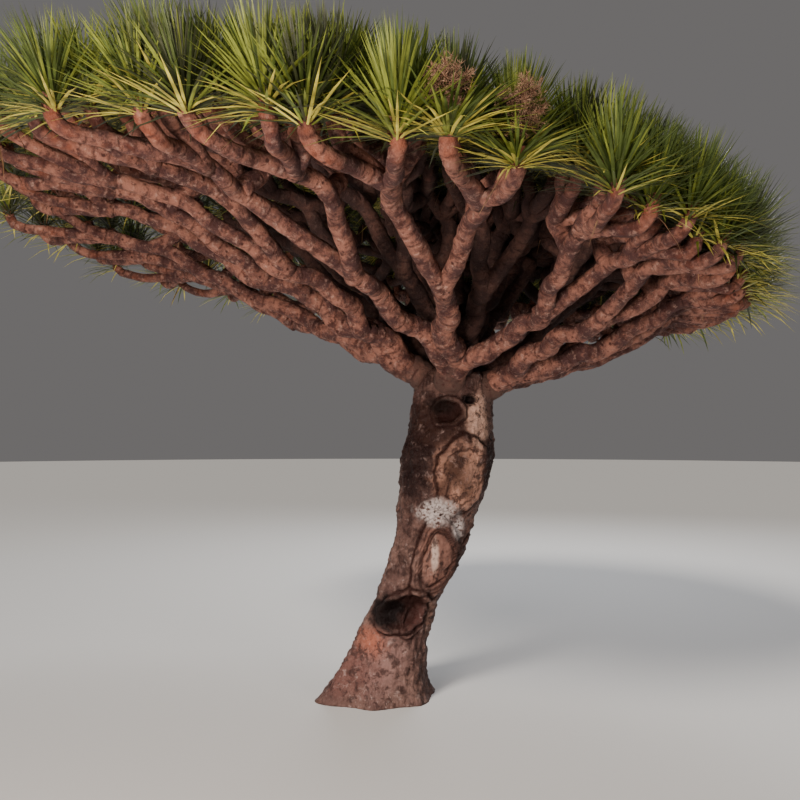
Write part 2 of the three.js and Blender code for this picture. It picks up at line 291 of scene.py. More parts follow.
@dataclass(frozen=True)
class Dome:
    """The shell that the twigs end on, seen from the hub that the boughs fan out from."""

    hub: Triple = (0.5, 0.0, 2.27)
    half_width: float = 3.80
    rise: float = 1.61
    shift: float = 1.08
    shift_bearing: float = -107
    tilt: float = 8.0
    tilt_bearing: float = 120

    @property
    def middle(self) -> Vector:
        """The hub as a point."""
        return Vector(self.hub)

    @property
    def turn(self) -> Quaternion:
        """The turn that tilts the crown."""
        return UP.rotation_difference(way_of(self.tilt_bearing, 90 - self.tilt))

    def way(self, bearing: float, rise: float) -> Vector:
        """A unit vector from a bearing and a rise above the tilted rim."""
        return self.turn @ way_of(bearing, rise)

    def reach(self, way: Vector) -> float:
        """How far the shell lies from the hub.

        Args:
            way: the unit vector that it is looked for along.

        Returns:
            Its distance.
        """
        squash = Vector((1 / self.half_width, 1 / self.half_width, 1 / self.rise))
        w = (self.turn.inverted() @ way) * squash
        c = way_of(self.shift_bearing, 0) * self.shift * squash
        a = w.dot(w)
        b = w.dot(c)
        return (b + math.sqrt(b * b - a * (c.dot(c) - 1))) / a

    def point(self, way: Vector, share: float) -> Vector:
        """The point at a share of the way from the hub to the shell."""
        return self.middle + way * (self.reach(way) * share)


@dataclass(frozen=True)
class Ring:
    """A ring of boughs: degrees for its angles, metres for how it leaves the trunk."""

    name: str
    count: int
    bearing: float
    rise: float
    lift: float
    sag: float
    sag_swing: float
    root_out: float
    root_up: float
    lean: float
    across: float
    over: float


@dataclass
class Bough:
    """One bough of the skeleton, and the cell of the crown that it feeds."""

    name: str
    ring: Ring
    index: int
    bearing: float
    way: Vector
    low_way: Vector
    sag: float
    phase: float
    fork_at: float
    seed: int
    path: Optional[LimbPath] = None
    radii: tuple[float, float] = (0.0, 0.0)

    @property
    def is_main(self) -> bool:
        """Whether it rises from the trunk, and not from the bough beside it."""
        return self.index % Skeleton.FORK_EVERY == 0


@dataclass
class Skeleton:
    """Works out every bough from a few named sizes and one seed."""

    FORK_EVERY = 3

    dome: Dome = field(default_factory=Dome)
    rings: tuple[Ring, ...] = (
        Ring(
            name="rim", count=15, bearing=-6, rise=26, lift=5.5, sag=3, sag_swing=6,
            root_out=0.11, root_up=-0.04, lean=0.8, across=0.10, over=0.055,
        ),
        Ring(
            name="mid", count=9, bearing=8, rise=45, lift=5, sag=4, sag_swing=6,
            root_out=0.105, root_up=0.04, lean=0.5, across=0.12, over=0.11,
        ),
        Ring(
            name="top", count=5, bearing=30, rise=70, lift=0, sag=0, sag_swing=0,
            root_out=0.05, root_up=0.09, lean=0.3, across=0.12, over=0.11,
        ),
    )
    bearing_jitter: float = 3
    rise_jitter: float = 2.5
    lift_bearing: float = 130
    seed: int = 2024
    fork_from: float = 0.16
    fork_to: float = 0.34
    bough_share: float = 0.42
    end_lift: float = 0.12
    main_radii: tuple[float, float] = (0.118, 0.070)
    side_radii: tuple[float, float] = (0.086, 0.064)
    neighbour_angle: float = 1.2

    def boughs(self) -> list[Bough]:
        """Plans every bough and lays its path.

        Returns:
            The boughs, those that rise from the trunk first.
        """
        planned = self.plan()
        mains = [bough for bough in planned if bough.is_main]
        sides = [bough for bough in planned if not bough.is_main]
        for bough in mains:
            out = self.dome.way(bough.bearing, 0)
            root = self.dome.middle + out * bough.ring.root_out + UP * bough.ring.root_up
            start_way = (out * bough.ring.lean + UP).normalized()
            bough.path = self.path_to(root, start_way, bough)
            bough.radii = self.main_radii
        for bough in sides:
            beside = -1 if bough.index % self.FORK_EVERY == 1 else 1
            at = (bough.index + beside) % bough.ring.count
            parent = next(b for b in mains if b.ring is bough.ring and b.index == at)
            start_way = (parent.path.tangent(bough.fork_at) + bough.low_way).normalized()
            bough.path = self.path_to(parent.path.point(bough.fork_at), start_way, bough)
            bough.radii = self.side_radii
        return mains + sides

    def plan(self) -> list[Bough]:
        """Deals out bearings, rises, phases, forks and seeds, in the order of the solids' rule.

        Returns:
            The boughs, which have no paths yet.
        """
        chance = Chance(self.seed)
        planned = []
        for ring in self.rings:
            for index in range(ring.count):
                bearing = ring.bearing + 360 * index / ring.count
                bearing += chance.spread(self.bearing_jitter)
                rise = ring.rise + chance.spread(self.rise_jitter)
                swing = math.cos(math.radians(bearing - self.lift_bearing))
                rise += ring.lift * swing
                sag = ring.sag + ring.sag_swing * swing
                phase = chance.next()
                fork_at = self.fork_from + (self.fork_to - self.fork_from) * chance.next()
                planned.append(
                    Bough(
                        name=f"{ring.name}_{index + 1:02d}",
                        ring=ring,
                        index=index,
                        bearing=bearing,
                        way=self.dome.way(bearing, rise),
                        low_way=self.dome.way(bearing, rise - sag),
                        sag=math.radians(sag),
                        phase=phase,
                        fork_at=fork_at,
                        seed=1 + int(chance.next() * SEEDS),
                    )
                )
        return planned

    def path_to(self, start: Vector, start_way: Vector, bough: Bough) -> LimbPath:
        """A bough's path to the low end of its cell.

        Args:
            start: where it starts.
            start_way: the unit vector that it starts along.
            bough: the bough.

        Returns:
            The path.
        """
        end = self.dome.point(bough.low_way, self.bough_share)
        end_way = (bough.way + UP * self.end_lift).normalized()
        return LimbPath(start, start_way, end, end_way, bough.phase)

    def cell_test(self, bough: Bough, boughs: Sequence[Bough]) -> Callable[[Vector, float], bool]:
        """Makes the test of whether a point keeps to a bough's own cell of the crown.

        Args:
            bough: the bough that the cell belongs to.
            boughs: all of them.

        Returns:
            A function of a point and a clearance from the cell's walls.
        """
        walls = [
            (bough.way - other.way).normalized()
            for other in boughs
            if other is not bough and other.way.angle(bough.way) < self.neighbour_angle
        ]
        hub = self.dome.middle
        return lambda point, clear: all(wall.dot(point - hub) > clear for wall in walls)


# Meshes


class Blank:
    """A straight round bar, drawn up ring by ring from a circle, that limbs are shaped from."""

    POLE_WITHIN = 0.5

    def __init__(self, sides: int, rings: int) -> None:
        """Models the bar, one unit in radius and one unit long, with its top drawn to a pole.

        Args:
            sides: how many faces go round it.
            rings: how many faces go along it.
        """
        self.sides = sides
        self.rings = rings
        bpy.ops.object.select_all(action="DESELECT")
        bpy.ops.mesh.primitive_circle_add(vertices=sides, radius=1, fill_type="NGON")
        bpy.ops.object.mode_set(mode="EDIT")
        bpy.ops.mesh.select_mode(type="FACE")
        bpy.ops.mesh.select_all(action="SELECT")
        rise = {"value": (0, 0, 1 / rings)}
        for _ in range(rings):
            bpy.ops.mesh.extrude_region_move(TRANSFORM_OT_translate=rise)
        bpy.ops.mesh.poke()
        bpy.ops.mesh.select_all(action="SELECT")
        bpy.ops.mesh.normals_make_consistent(inside=False)
        bpy.ops.object.mode_set(mode="OBJECT")
        shaped = bpy.context.active_object
        self.mesh = shaped.data
        bpy.data.objects.remove(shaped)
        at = np.zeros(len(self.mesh.vertices) * 3)
        self.mesh.vertices.foreach_get("co", at)
        at = at.reshape(-1, 3)
        self.is_pole = np.hypot(at[:, 0], at[:, 1]) < self.POLE_WITHIN
        self.angle = np.arctan2(at[:, 1], at[:, 0])
        self.ring = np.rint(at[:, 2] * rings).astype(int)

    def copy(self, name: str, points: np.ndarray) -> bpy.types.Mesh:
        """Copies the bar's faces to new places.

        Args:
            name: the new mesh's name.
            points: a new place for each corner.

        Returns:
            A mesh of its own.
        """
        mesh = self.mesh.copy()
        mesh.name = name
        mesh.vertices.foreach_set("co", points.astype(np.float32).ravel())
        mesh.polygons.foreach_set("use_smooth", np.ones(len(mesh.polygons), bool))
        mesh.update()
        return mesh


def add_piece(name: str, mesh: bpy.types.Mesh, material: bpy.types.Material) -> bpy.types.Object:
    """Puts a finished mesh in the scene.

    Args:
        name: the piece's name.
        mesh: its mesh, in place.
        material: its finish.

    Returns:
        The object, at the origin.
    """
    mesh.materials.clear()
    mesh.materials.append(material)
    piece = bpy.data.objects.new(name, mesh)
    bpy.context.scene.collection.objects.link(piece)
    return piece


def add_values(mesh: bpy.types.Mesh, name: str, values: np.ndarray) -> None:
    """Keeps one number for each corner of a mesh, for its finish to read."""
    layer = mesh.attributes.new(name, "FLOAT", "POINT")
    layer.data.foreach_set("value", values.astype(np.float32))


def mesh_of(name: str, points: np.ndarray, triangles: np.ndarray) -> bpy.types.Mesh:
    """A mesh from arrays.

    Args:
        name: the mesh's name.
        points: one row for each corner.
        triangles: one row of three corner numbers for each face.

    Returns:
        The mesh.
    """
    mesh = bpy.data.meshes.new(name)
    mesh.vertices.add(len(points))
    mesh.vertices.foreach_set("co", points.astype(np.float32).ravel())
    mesh.loops.add(triangles.size)
    mesh.loops.foreach_set("vertex_index", triangles.astype(np.int32).ravel())
    mesh.polygons.add(len(triangles))
    mesh.polygons.foreach_set("loop_start", np.arange(0, triangles.size, 3, dtype=np.int32))
    mesh.update(calc_edges=True)
    mesh.validate()
    return mesh


def triangles_of(mesh: bpy.types.Mesh) -> np.ndarray:
    """Cuts a mesh's faces into triangles.

    Args:
        mesh: the mesh.

    Returns:
        One row of three corner numbers for each triangle.
    """
    mesh.calc_loop_triangles()
    rows = np.zeros(len(mesh.loop_triangles) * 3, np.int32)
    mesh.loop_triangles.foreach_get("vertices", rows)
    return rows.reshape(-1, 3)


def frames_along(middle: np.ndarray) -> tuple[np.ndarray, np.ndarray, np.ndarray]:
    """Turns a row of points into frames that twist as little as they can.

    Args:
        middle: the points of a line, one row each.

    Returns:
        The unit vectors along it, to its right and over it, one row for each point.
    """
    along = np.gradient(middle, axis=0)
    along /= np.linalg.norm(along, axis=1, keepdims=True)
    right = np.zeros_like(along)
    right[0] = square_to(along[0])
    for i in range(1, len(middle)):
        turned = right[i - 1] - along[i] * np.dot(right[i - 1], along[i])
        right[i] = turned / np.linalg.norm(turned)
    return along, right, np.cross(along, right)


# Finishes


@dataclass(frozen=True)
class Dapple:
    """Patches of colour: their noise, the values where they start and are full, and strength."""

    scale: float
    detail: float
    rough: float
    low: float
    high: float
    top: float = 1.0
    twist: float = 0.0


class Shader:
    """A material's nodes, added one by one."""

    # Where a mix of colours takes its share and its two colours, and gives the third
    MIX_SOCKETS = (0, 6, 7)
    MIXED_SOCKET = 2

    def __init__(self, name: str) -> None:
        """Starts a material with one surface shader.

        Args:
            name: the material's name.
        """
        self.material = bpy.data.materials.new(name)
        self.material.use_nodes = True
        self.tree = self.material.node_tree
        self.surface = self.tree.nodes["Principled BSDF"]
        self.place = self.add("ShaderNodeTexCoord").outputs["Object"]

    def add(self, kind: str, **settings: object) -> bpy.types.Node:
        """Adds a node.

        Args:
            kind: the node's type.
            settings: its options.

        Returns:
            The node.
        """
        node = self.tree.nodes.new(kind)
        for name, value in settings.items():
            setattr(node, name, value)
        return node

    def feed(self, socket: Socket, value: object) -> None:
        """Links a socket to another, or sets it.

        Args:
            socket: the socket that is fed.
            value: another socket, a number, a vector or a colour.
        """
        if isinstance(value, Socket):
            self.tree.links.new(value, socket)
        elif isinstance(value, tuple) and len(value) == 3 and socket.type == "RGBA":
            socket.default_value = (*value, 1.0)
        else:
            socket.default_value = value

    def noise(
        self,
        scale: float,
        detail: float = 4,
        rough: float = 0.55,
        twist: float = 0.0,
        place: Optional[Socket] = None,
    ) -> Socket:
        """Smooth noise from 0 to 1.

        Args:
            scale: how many swells there are to the metre.
            detail: how many finer layers are added.
            rough: how strong the finer layers are.
            twist: how far the swells are swirled.
            place: coordinates, the piece's own where none are given.

        Returns:
            The noise.
        """
        node = self.add("ShaderNodeTexNoise")
        self.feed(node.inputs["Vector"], place or self.place)
        self.feed(node.inputs["Scale"], scale)
        self.feed(node.inputs["Detail"], detail)
        self.feed(node.inputs["Roughness"], rough)
        self.feed(node.inputs["Distortion"], twist)
        return node.outputs[0]

    def cells(self, scale: float) -> Socket:
        """Distance to the nearest of many scattered points.

        Args:
            scale: how many points there are to the metre.

        Returns:
            The distance, as a share of the gap between them.
        """
        node = self.add("ShaderNodeTexVoronoi", feature="F1")
        self.feed(node.inputs["Vector"], self.place)
        self.feed(node.inputs["Scale"], scale)
        return node.outputs["Distance"]

    def stretched(self, scale: Triple, about: Triple = (0.0, 0.0, 0.0)) -> Socket:
        """The piece's own coordinates, moved and scaled.

        Args:
            scale: what each is multiplied by.
            about: the point that they are measured from.

        Returns:
            The coordinates.
        """
        moved = self.add("ShaderNodeVectorMath", operation="SUBTRACT")
        self.feed(moved.inputs[0], self.place)
        self.feed(moved.inputs[1], about)
        node = self.add("ShaderNodeVectorMath", operation="MULTIPLY")
        self.feed(node.inputs[0], moved.outputs[0])
        self.feed(node.inputs[1], scale)
        return node.outputs[0]

    def maths(self, operation: str, *values: object) -> Socket:
        """One sum on numbers.

        Args:
            operation: which sum.
            values: sockets or numbers.

        Returns:
            The answer.
        """
        node = self.add("ShaderNodeMath", operation=operation)
        for socket, value in zip(node.inputs, values):
            self.feed(socket, value)
        return node.outputs[0]

    def times(self, first: object, second: object) -> Socket:
        """One number times another."""
        return self.maths("MULTIPLY", first, second)

    def rest(self, share: object) -> Socket:
        """What a share leaves of 1."""
        return self.maths("SUBTRACT", 1.0, share)

    def frayed(self, value: object, size: float, noise: Triple) -> Socket:
        """A number moved by noise of a scale, detail and roughness."""
        return self.maths("ADD", value, self.times(self.noise(*noise), size))

    def patches(self, noise: Triple, step: tuple[float, ...]) -> Socket:
        """A soft step on noise of a scale, detail and roughness."""
        return self.step(self.noise(*noise), *step)

    def step(self, value: object, low: float, high: float, top: float = 1.0) -> Socket:
        """A soft step.

        Args:
            value: what is looked at.
            low: where the step starts, at 0.
            high: where the step ends.
            top: how high it ends.

        Returns:
            The step's height.
        """
        node = self.add("ShaderNodeMapRange", interpolation_type="SMOOTHSTEP")
        self.feed(node.inputs["Value"], value)
        self.feed(node.inputs["From Min"], low)
        self.feed(node.inputs["From Max"], high)
        self.feed(node.inputs["To Max"], top)
        return node.outputs[0]

    def mix(self, share: object, first: object, second: object) -> Socket:
        """A colour between two others.

        Args:
            share: how much of the second there is, from 0 to 1.
            first: one colour.
            second: the other.

        Returns:
            The colour.
        """
        node = self.add("ShaderNodeMix", data_type="RGBA")
        for number, value in zip(self.MIX_SOCKETS, (share, first, second)):
            self.feed(node.inputs[number], value)
        return node.outputs[self.MIXED_SOCKET]

    def dappled(self, under: object, over: object, dapple: Dapple) -> Socket:
        """Lays patches of one colour over another."""
        noise = self.noise(dapple.scale, dapple.detail, dapple.rough, dapple.twist)
        return self.mix(self.step(noise, dapple.low, dapple.high, dapple.top), under, over)

    def value(self, name: str) -> Socket:
        """A number that the piece keeps for each corner."""
        return self.add("ShaderNodeAttribute", attribute_name=name).outputs["Fac"]

    def blot(self, centre: Triple, half: Triple, ragged: object, edge: float) -> Socket:
        """How far a point is inside a ragged oval.

        Args:
            centre: the oval's middle.
            half: its half sizes.
            ragged: noise that frays its edge.
            edge: how soft the edge is.

        Returns:
            A socket that is 1 inside and 0 outside.
        """
        place = self.stretched(tuple(1 / size for size in half), centre)
        length = self.add("ShaderNodeVectorMath", operation="LENGTH")
        self.feed(length.inputs[0], place)
        frayed = self.maths("ADD", length.outputs["Value"], ragged)
        return self.rest(self.step(frayed, 1 - edge, 1 + edge))

    def bump(
        self, height: object, depth: float, strength: float = 1.0, under: Optional[Socket] = None
    ) -> Socket:
        """Roughens the surface.

        Args:
            height: how high it is, from 0 to 1.
            depth: how many metres a height of 1 is.
            strength: how much of it shows.
            under: a bump that it is laid over.

        Returns:
            The surface's way out.
        """
        node = self.add("ShaderNodeBump")
        self.feed(node.inputs["Height"], height)
        self.feed(node.inputs["Distance"], depth)
        self.feed(node.inputs["Strength"], strength)
        if under is not None:
            self.feed(node.inputs["Normal"], under)
        return node.outputs[0]

    def finish(
        self, colour: object, rough: object, normal: Optional[Socket] = None, gloss: float = 0.3
    ) -> bpy.types.Material:
        """Joins colour, roughness and relief to the surface.

        Args:
            colour: a colour or a socket.
            rough: a number or a socket.
            normal: a bump's socket, if there is one.
            gloss: how strongly the surface mirrors, from 0 to 1.

        Returns:
            The material.
        """
        self.feed(self.surface.inputs["Base Color"], colour)
        self.feed(self.surface.inputs["Roughness"], rough)
        self.feed(self.surface.inputs["Specular IOR Level"], gloss)
        if normal is not None:
            self.feed(self.surface.inputs["Normal"], normal)
        return self.material


@dataclass(frozen=True)
class ColourPatch:
    """A patch of colour on the trunk: its middle, half sizes, colour, edge and strength."""

    centre: Triple
    half: Triple
    colour: Colour
    edge: float = 0.2
    strength: float = 1.0


@dataclass(frozen=True)
class TrunkBark:
    """Purplish brown bark with tan scars and pale lichen, and painted shade in its hollows."""

    base: Colour = (0.080, 0.043, 0.037)
    dark: Colour = (0.022, 0.011, 0.010)
    tan: Colour = (0.170, 0.098, 0.080)
    # Dark crust on the scars' rims, also laid on as painted shade on the hollows' floors
    crust_and_shade: Colour = (0.022, 0.0080, 0.0065)
    blotch: Colour = (0.034, 0.017, 0.015)
    frost: Colour = (0.30, 0.215, 0.195)
    tan_dapple: Dapple = Dapple(3.2, 6, 0.62, 0.36, 0.68)
    dark_dapple: Dapple = Dapple(7.0, 8, 0.7, 0.46, 0.66, 0.8)
    frost_dapple: Dapple = Dapple(20.0, 6, 0.7, 0.55, 0.68, 0.6, 0.6)
    blotch_dapple: Dapple = Dapple(15.0, 6, 0.7, 0.50, 0.60, 0.8, 0.4)
    streak_scale: Triple = (36.0, 36.0, 9.0)
    lump_scale: float = 52.0
    pore_scale: float = 70.0
    # Each noise's scale, detail and roughness
    fray_noise: Triple = (9.0, 6, 0.65)
    streak_noise: Triple = (1.0, 6, 0.7)
    speckle_noise: Triple = (30.0, 5, 0.6)
    fine_noise: Triple = (55.0, 8, 0.7)
    # Where each soft step starts, where it ends and how high
    streak_step: Triple = (0.50, 0.68, 0.45)
    pit_step: Triple = (0.12, 0.7, 0.92)
    lump_step: Triple = (0.45, 0.75, 0.45)
    speckle_step: Triple = (0.36, 0.46, 1.0)
    pore_step: Triple = (0.0, 0.35, 1.0)
    rough_step: Triple = (0.2, 0.9, 0.95)
    # How far the edges of the stains and painted shade fray, and the shares of grain and of pores in
    # the relief
    fray: float = 1.5
    grain_share: float = 0.7
    pore_share: float = 0.3
    # Depth in metres and strength of each relief
    grain_relief: tuple[float, float] = (0.018, 0.9)
    streak_relief: tuple[float, float] = (0.020, 0.8)
    gloss: float = 0.1
    # The belly's dark side, its big scar, the knot over it, the two lower scars and the foot
    stains_and_shade: tuple[ColourPatch, ...] = (
        ColourPatch((0.20, -0.3, 1.82), (0.145, 0.4, 0.37), (0.018, 0.0085, 0.008), 0.3, 0.95),
        ColourPatch((0.53, -0.3, 1.68), (0.19, 0.4, 0.25), (0.50, 0.27, 0.19), 0.3, 0.85),
        ColourPatch((0.50, -0.3, 1.72), (0.09, 0.4, 0.13), (0.040, 0.018, 0.012), 0.6, 0.9),
        ColourPatch((0.41, -0.3, 1.56), (0.06, 0.4, 0.08), (0.05, 0.022, 0.015), 0.6, 0.8),
        ColourPatch((0.58, -0.3, 1.56), (0.05, 0.4, 0.06), (0.07, 0.032, 0.020), 0.6, 0.7),
        ColourPatch((0.76, -0.15, 1.70), (0.06, 0.3, 0.28), (0.020, 0.009, 0.008), 0.35, 0.95),
        ColourPatch((0.38, -0.3, 2.05), (0.20, 0.3, 0.16), (0.034, 0.015, 0.011), 0.3, 0.9),
        ColourPatch((0.67, -0.25, 2.07), (0.08, 0.3, 0.19), (0.60, 0.38, 0.29), 0.4, 0.85),
        ColourPatch((0.37, -0.25, 1.05), (0.13, 0.3, 0.24), (0.21, 0.105, 0.080), 0.25, 0.85),
        ColourPatch((0.347, -0.25, 1.08), (0.024, 0.3, 0.11), (0.50, 0.38, 0.32), 0.5, 0.8),
        ColourPatch((0.33, -0.2, 0.54), (0.05, 0.3, 0.26), (0.19, 0.110, 0.086), 0.4, 0.8),
        # Painted shade over the right half of the foot's hollow
        ColourPatch((0.18, -0.25, 0.66), (0.10, 0.3, 0.13), (0.040, 0.014, 0.012), 0.35, 0.85),
        ColourPatch((-0.04, -0.35, 0.30), (0.18, 0.5, 0.20), (0.20, 0.112, 0.098), 0.5, 0.7),
        ColourPatch((-0.13, -0.3, 0.44), (0.11, 0.3, 0.09), (0.30, 0.085, 0.045), 0.7, 0.65),
        ColourPatch((-0.34, -0.30, 0.24), (0.24, 0.5, 0.16), (0.11, 0.046, 0.038), 0.5, 0.7),
    )
    # Painted shade in the hollows of the top knot, its cleft and the foot, laid over the crust
    hollow_shades: tuple[ColourPatch, ...] = (
        ColourPatch((0.39, -0.3, 2.18), (0.11, 0.3, 0.06), (0.010, 0.005, 0.004), 0.45, 0.9),
        ColourPatch((0.60, -0.3, 2.22), (0.06, 0.3, 0.035), (0.008, 0.004, 0.004), 0.35, 0.97),
        ColourPatch((-0.01, -0.25, 0.66), (0.15, 0.35, 0.125), (0.004, 0.002, 0.002), 0.35, 0.97),
    )
    lichens: tuple[ColourPatch, ...] = (
        ColourPatch((0.37, -0.25, 1.40), (0.145, 0.3, 0.09), (0.5, 0.44, 0.42), 0.35),
        ColourPatch((0.52, -0.25, 1.28), (0.045, 0.3, 0.07), (0.5, 0.44, 0.42), 0.5),
    )

    def material(self) -> bpy.types.Material:
        """Builds the material.

        Returns:
            The material, which reads the piece's own coordinates and its kept pit depth.
        """
        shader = Shader("trunk_bark")
        wood = shader.dappled(self.base, self.tan, self.tan_dapple)
        wood = shader.dappled(wood, self.dark, self.dark_dapple)
        centred = shader.maths("SUBTRACT", shader.noise(*self.fray_noise), 0.5)
        frayed = shader.times(centred, self.fray)
        wood = self.stained_and_shaded(shader, wood, self.stains_and_shade, frayed)
        wood = shader.dappled(wood, self.frost, self.frost_dapple)
        wood = shader.dappled(wood, self.blotch, self.blotch_dapple)
        streaks = shader.noise(*self.streak_noise, place=shader.stretched(self.streak_scale))
        wood = shader.mix(shader.step(streaks, *self.streak_step), wood, self.dark)
        # Dark crust round the scars' lips, and painted shade on the hollows' floors, laid on by depth
        pit = shader.step(shader.value("pit"), *self.pit_step)
        wood = shader.mix(pit, wood, self.crust_and_shade)
        # Painted shade in the trunk's hollows, near black
        wood = self.stained_and_shaded(shader, wood, self.hollow_shades, frayed)
        lumps = shader.step(shader.cells(self.lump_scale), *self.lump_step)
        speckle = shader.patches(self.speckle_noise, self.speckle_step)
        speckle = shader.maths("SUBTRACT", speckle, lumps)
        for colour_patch in self.lichens:
            inside = shader.blot(colour_patch.centre, colour_patch.half, frayed, colour_patch.edge)
            wood = shader.mix(shader.times(inside, speckle), wood, colour_patch.colour)
        pores = shader.step(shader.cells(self.pore_scale), *self.pore_step)
        fine = shader.noise(*self.fine_noise)
        height = shader.times(pores, self.pore_share)
        height = shader.maths("ADD", shader.times(fine, self.grain_share), height)
        normal = shader.bump(height, *self.grain_relief)
        normal = shader.bump(streaks, *self.streak_relief, normal)
        return shader.finish(wood, shader.step(fine, *self.rough_step), normal, self.gloss)

    @staticmethod
    def stained_and_shaded(shader: Shader, wood: object, stains_and_shade: Sequence[ColourPatch], frayed: object) -> Socket:
        """Paints stains and painted shade over a colour.

        Args:
            shader: the material.
            wood: the colour under them.
            stains_and_shade: the stains, and the patches of painted shade.
            frayed: noise that frays their edges.

        Returns:
            The colour with the stains and the painted shade.
        """
        for colour_patch in stains_and_shade:
            inside = shader.blot(colour_patch.centre, colour_patch.half, frayed, colour_patch.edge)
            wood = shader.mix(shader.times(inside, colour_patch.strength), wood, colour_patch.colour)
        return wood


class Side(Enum):
    """Where a limb lies: at the crown's rim, or within it, where its bark is painted greyer and darker
    as shade.
    """

    OUTER = "outer"
    INNER = "inner"

    @classmethod
    def of(cls, ring: str) -> "Side":
        """The side that a ring of boughs lies on."""
        return cls.OUTER if ring == "rim" else cls.INNER


@dataclass(frozen=True)
class LimbBark:
    """Pinkish tan bark with ring creases, dark reddish spots and orange young ends, and painted shade
    on the limbs inside the crown.
    """

    side: Side
    base: Colour = (0.31, 0.138, 0.098)
    mauve: Colour = (0.066, 0.029, 0.027)
    spot: Colour = (0.055, 0.018, 0.014)
    fleck: Colour = (0.56, 0.36, 0.29)
    young: Colour = (0.26, 0.070, 0.032)
    old: Colour = (0.075, 0.042, 0.034)
    # Painted shade for the limbs inside the crown, and how strongly it is laid on
    shade: Colour = (0.024, 0.013, 0.012)
    shade_share: float = 0.78
    mauve_dapple: Dapple = Dapple(6.5, 8, 0.70, 0.37, 0.59)
    spot_dapple: Dapple = Dapple(14.0, 8, 0.72, 0.52, 0.62, 0.8, 0.15)
    # Metres from one ring crease to the next, and how strongly creases are coloured
    ring_step: float = 0.075
    crease_share: float = 0.8
    spot_scale: float = 15.0
    # Each noise's scale, detail and roughness
    mottle_noise: Triple = (27.0, 6, 0.7)
    worn_noise: Triple = (9.0, 5, 0.6)
    young_noise: Triple = (8.0, 5, 0.6)
    bend_noise: Triple = (5.0, 3, 0.5)
    crease_noise: Triple = (60.0, 4, 0.7)
    break_noise: Triple = (11.0, 4, 0.6)
    spot_noise: Triple = (6.0, 3, 0.5)
    fine_noise: Triple = (75.0, 8, 0.7)
    # How far noise moves the worn roots, the young ends, the rings and the creases' edges
    worn_fray: float = 0.35
    young_fray: float = 0.5
    bend_fray: float = 0.06
    crease_fray: float = 0.30
    # Where each soft step starts, where it ends and how high
    fleck_step: Triple = (0.51, 0.72, 0.5)
    worn_step: Triple = (0.30, 0.75, 1.0)
    young_step: Triple = (1.16, 1.36, 0.75)
    crease_step: Triple = (0.12, 0.34, 1.0)
    break_step: Triple = (0.44, 0.60, 1.0)
    spot_step: Triple = (0.10, 0.24, 1.0)
    some_step: Triple = (0.40, 0.48, 1.0)
    # Depth in metres and strength of each relief
    grain_relief: tuple[float, float] = (0.012, 0.9)
    mottle_relief: tuple[float, float] = (0.022, 0.8)
    crease_relief: tuple[float, float] = (0.006, 0.8)
    roughness: float = 0.82
    gloss: float = 0.25

    def material(self) -> bpy.types.Material:
        """Builds the material.

        Returns:
            The material, which reads the limb's own run from its root and its youth.
        """
        shader = Shader(f"limb_bark_{self.side.value}")
        run = shader.value("run")
        youth = shader.value("youth")
        wood = shader.dappled(self.base, self.mauve, self.mauve_dapple)
        mottle = shader.noise(*self.mottle_noise)
        wood = shader.mix(shader.step(mottle, *self.fleck_step), wood, self.fleck)
        wood = shader.dappled(wood, self.spot, self.spot_dapple)
        worn = shader.frayed(run, self.worn_fray, self.worn_noise)
        wood = shader.mix(shader.rest(shader.step(worn, *self.worn_step)), wood, self.old)
        ragged = shader.frayed(youth, self.young_fray, self.young_noise)
        wood = shader.mix(shader.step(ragged, *self.young_step), wood, self.young)
        bent = shader.frayed(run, self.bend_fray, self.bend_noise)
        rings = shader.maths("DIVIDE", bent, self.ring_step)
        # How many rings off the nearest crease is, up to half a ring
        near = shader.maths("PINGPONG", rings, 0.5)
        near = shader.frayed(near, self.crease_fray, self.crease_noise)
        crease = shader.rest(shader.step(near, *self.crease_step))
        broken = shader.times(crease, shader.patches(self.break_noise, self.break_step))
        wood = shader.mix(shader.times(broken, self.crease_share), wood, self.spot)
        spots = shader.rest(shader.step(shader.cells(self.spot_scale), *self.spot_step))
        some = shader.patches(self.spot_noise, self.some_step)
        wood = shader.mix(shader.times(spots, some), wood, self.spot)
        # Painted shade: the limbs inside the crown are mixed towards the shade colour
        if self.side is Side.INNER:
            wood = shader.mix(self.shade_share, wood, self.shade)
        normal = shader.bump(shader.noise(*self.fine_noise), *self.grain_relief)
        normal = shader.bump(mottle, *self.mottle_relief, normal)
        normal = shader.bump(shader.rest(broken), *self.crease_relief, normal)
        return shader.finish(wood, self.roughness, normal, self.gloss)


class LeafTone(Enum):
    """The colours that leaves are dealt out in, from deep green, which also serves as painted shade, to
    dry.
    """

    DEEP = (0.020, 0.026, 0.005)
    GREEN = (0.046, 0.070, 0.008)
    BRIGHT = (0.122, 0.150, 0.016)
    GOLD = (0.38, 0.34, 0.055)
    DRY = (0.24, 0.13, 0.065)


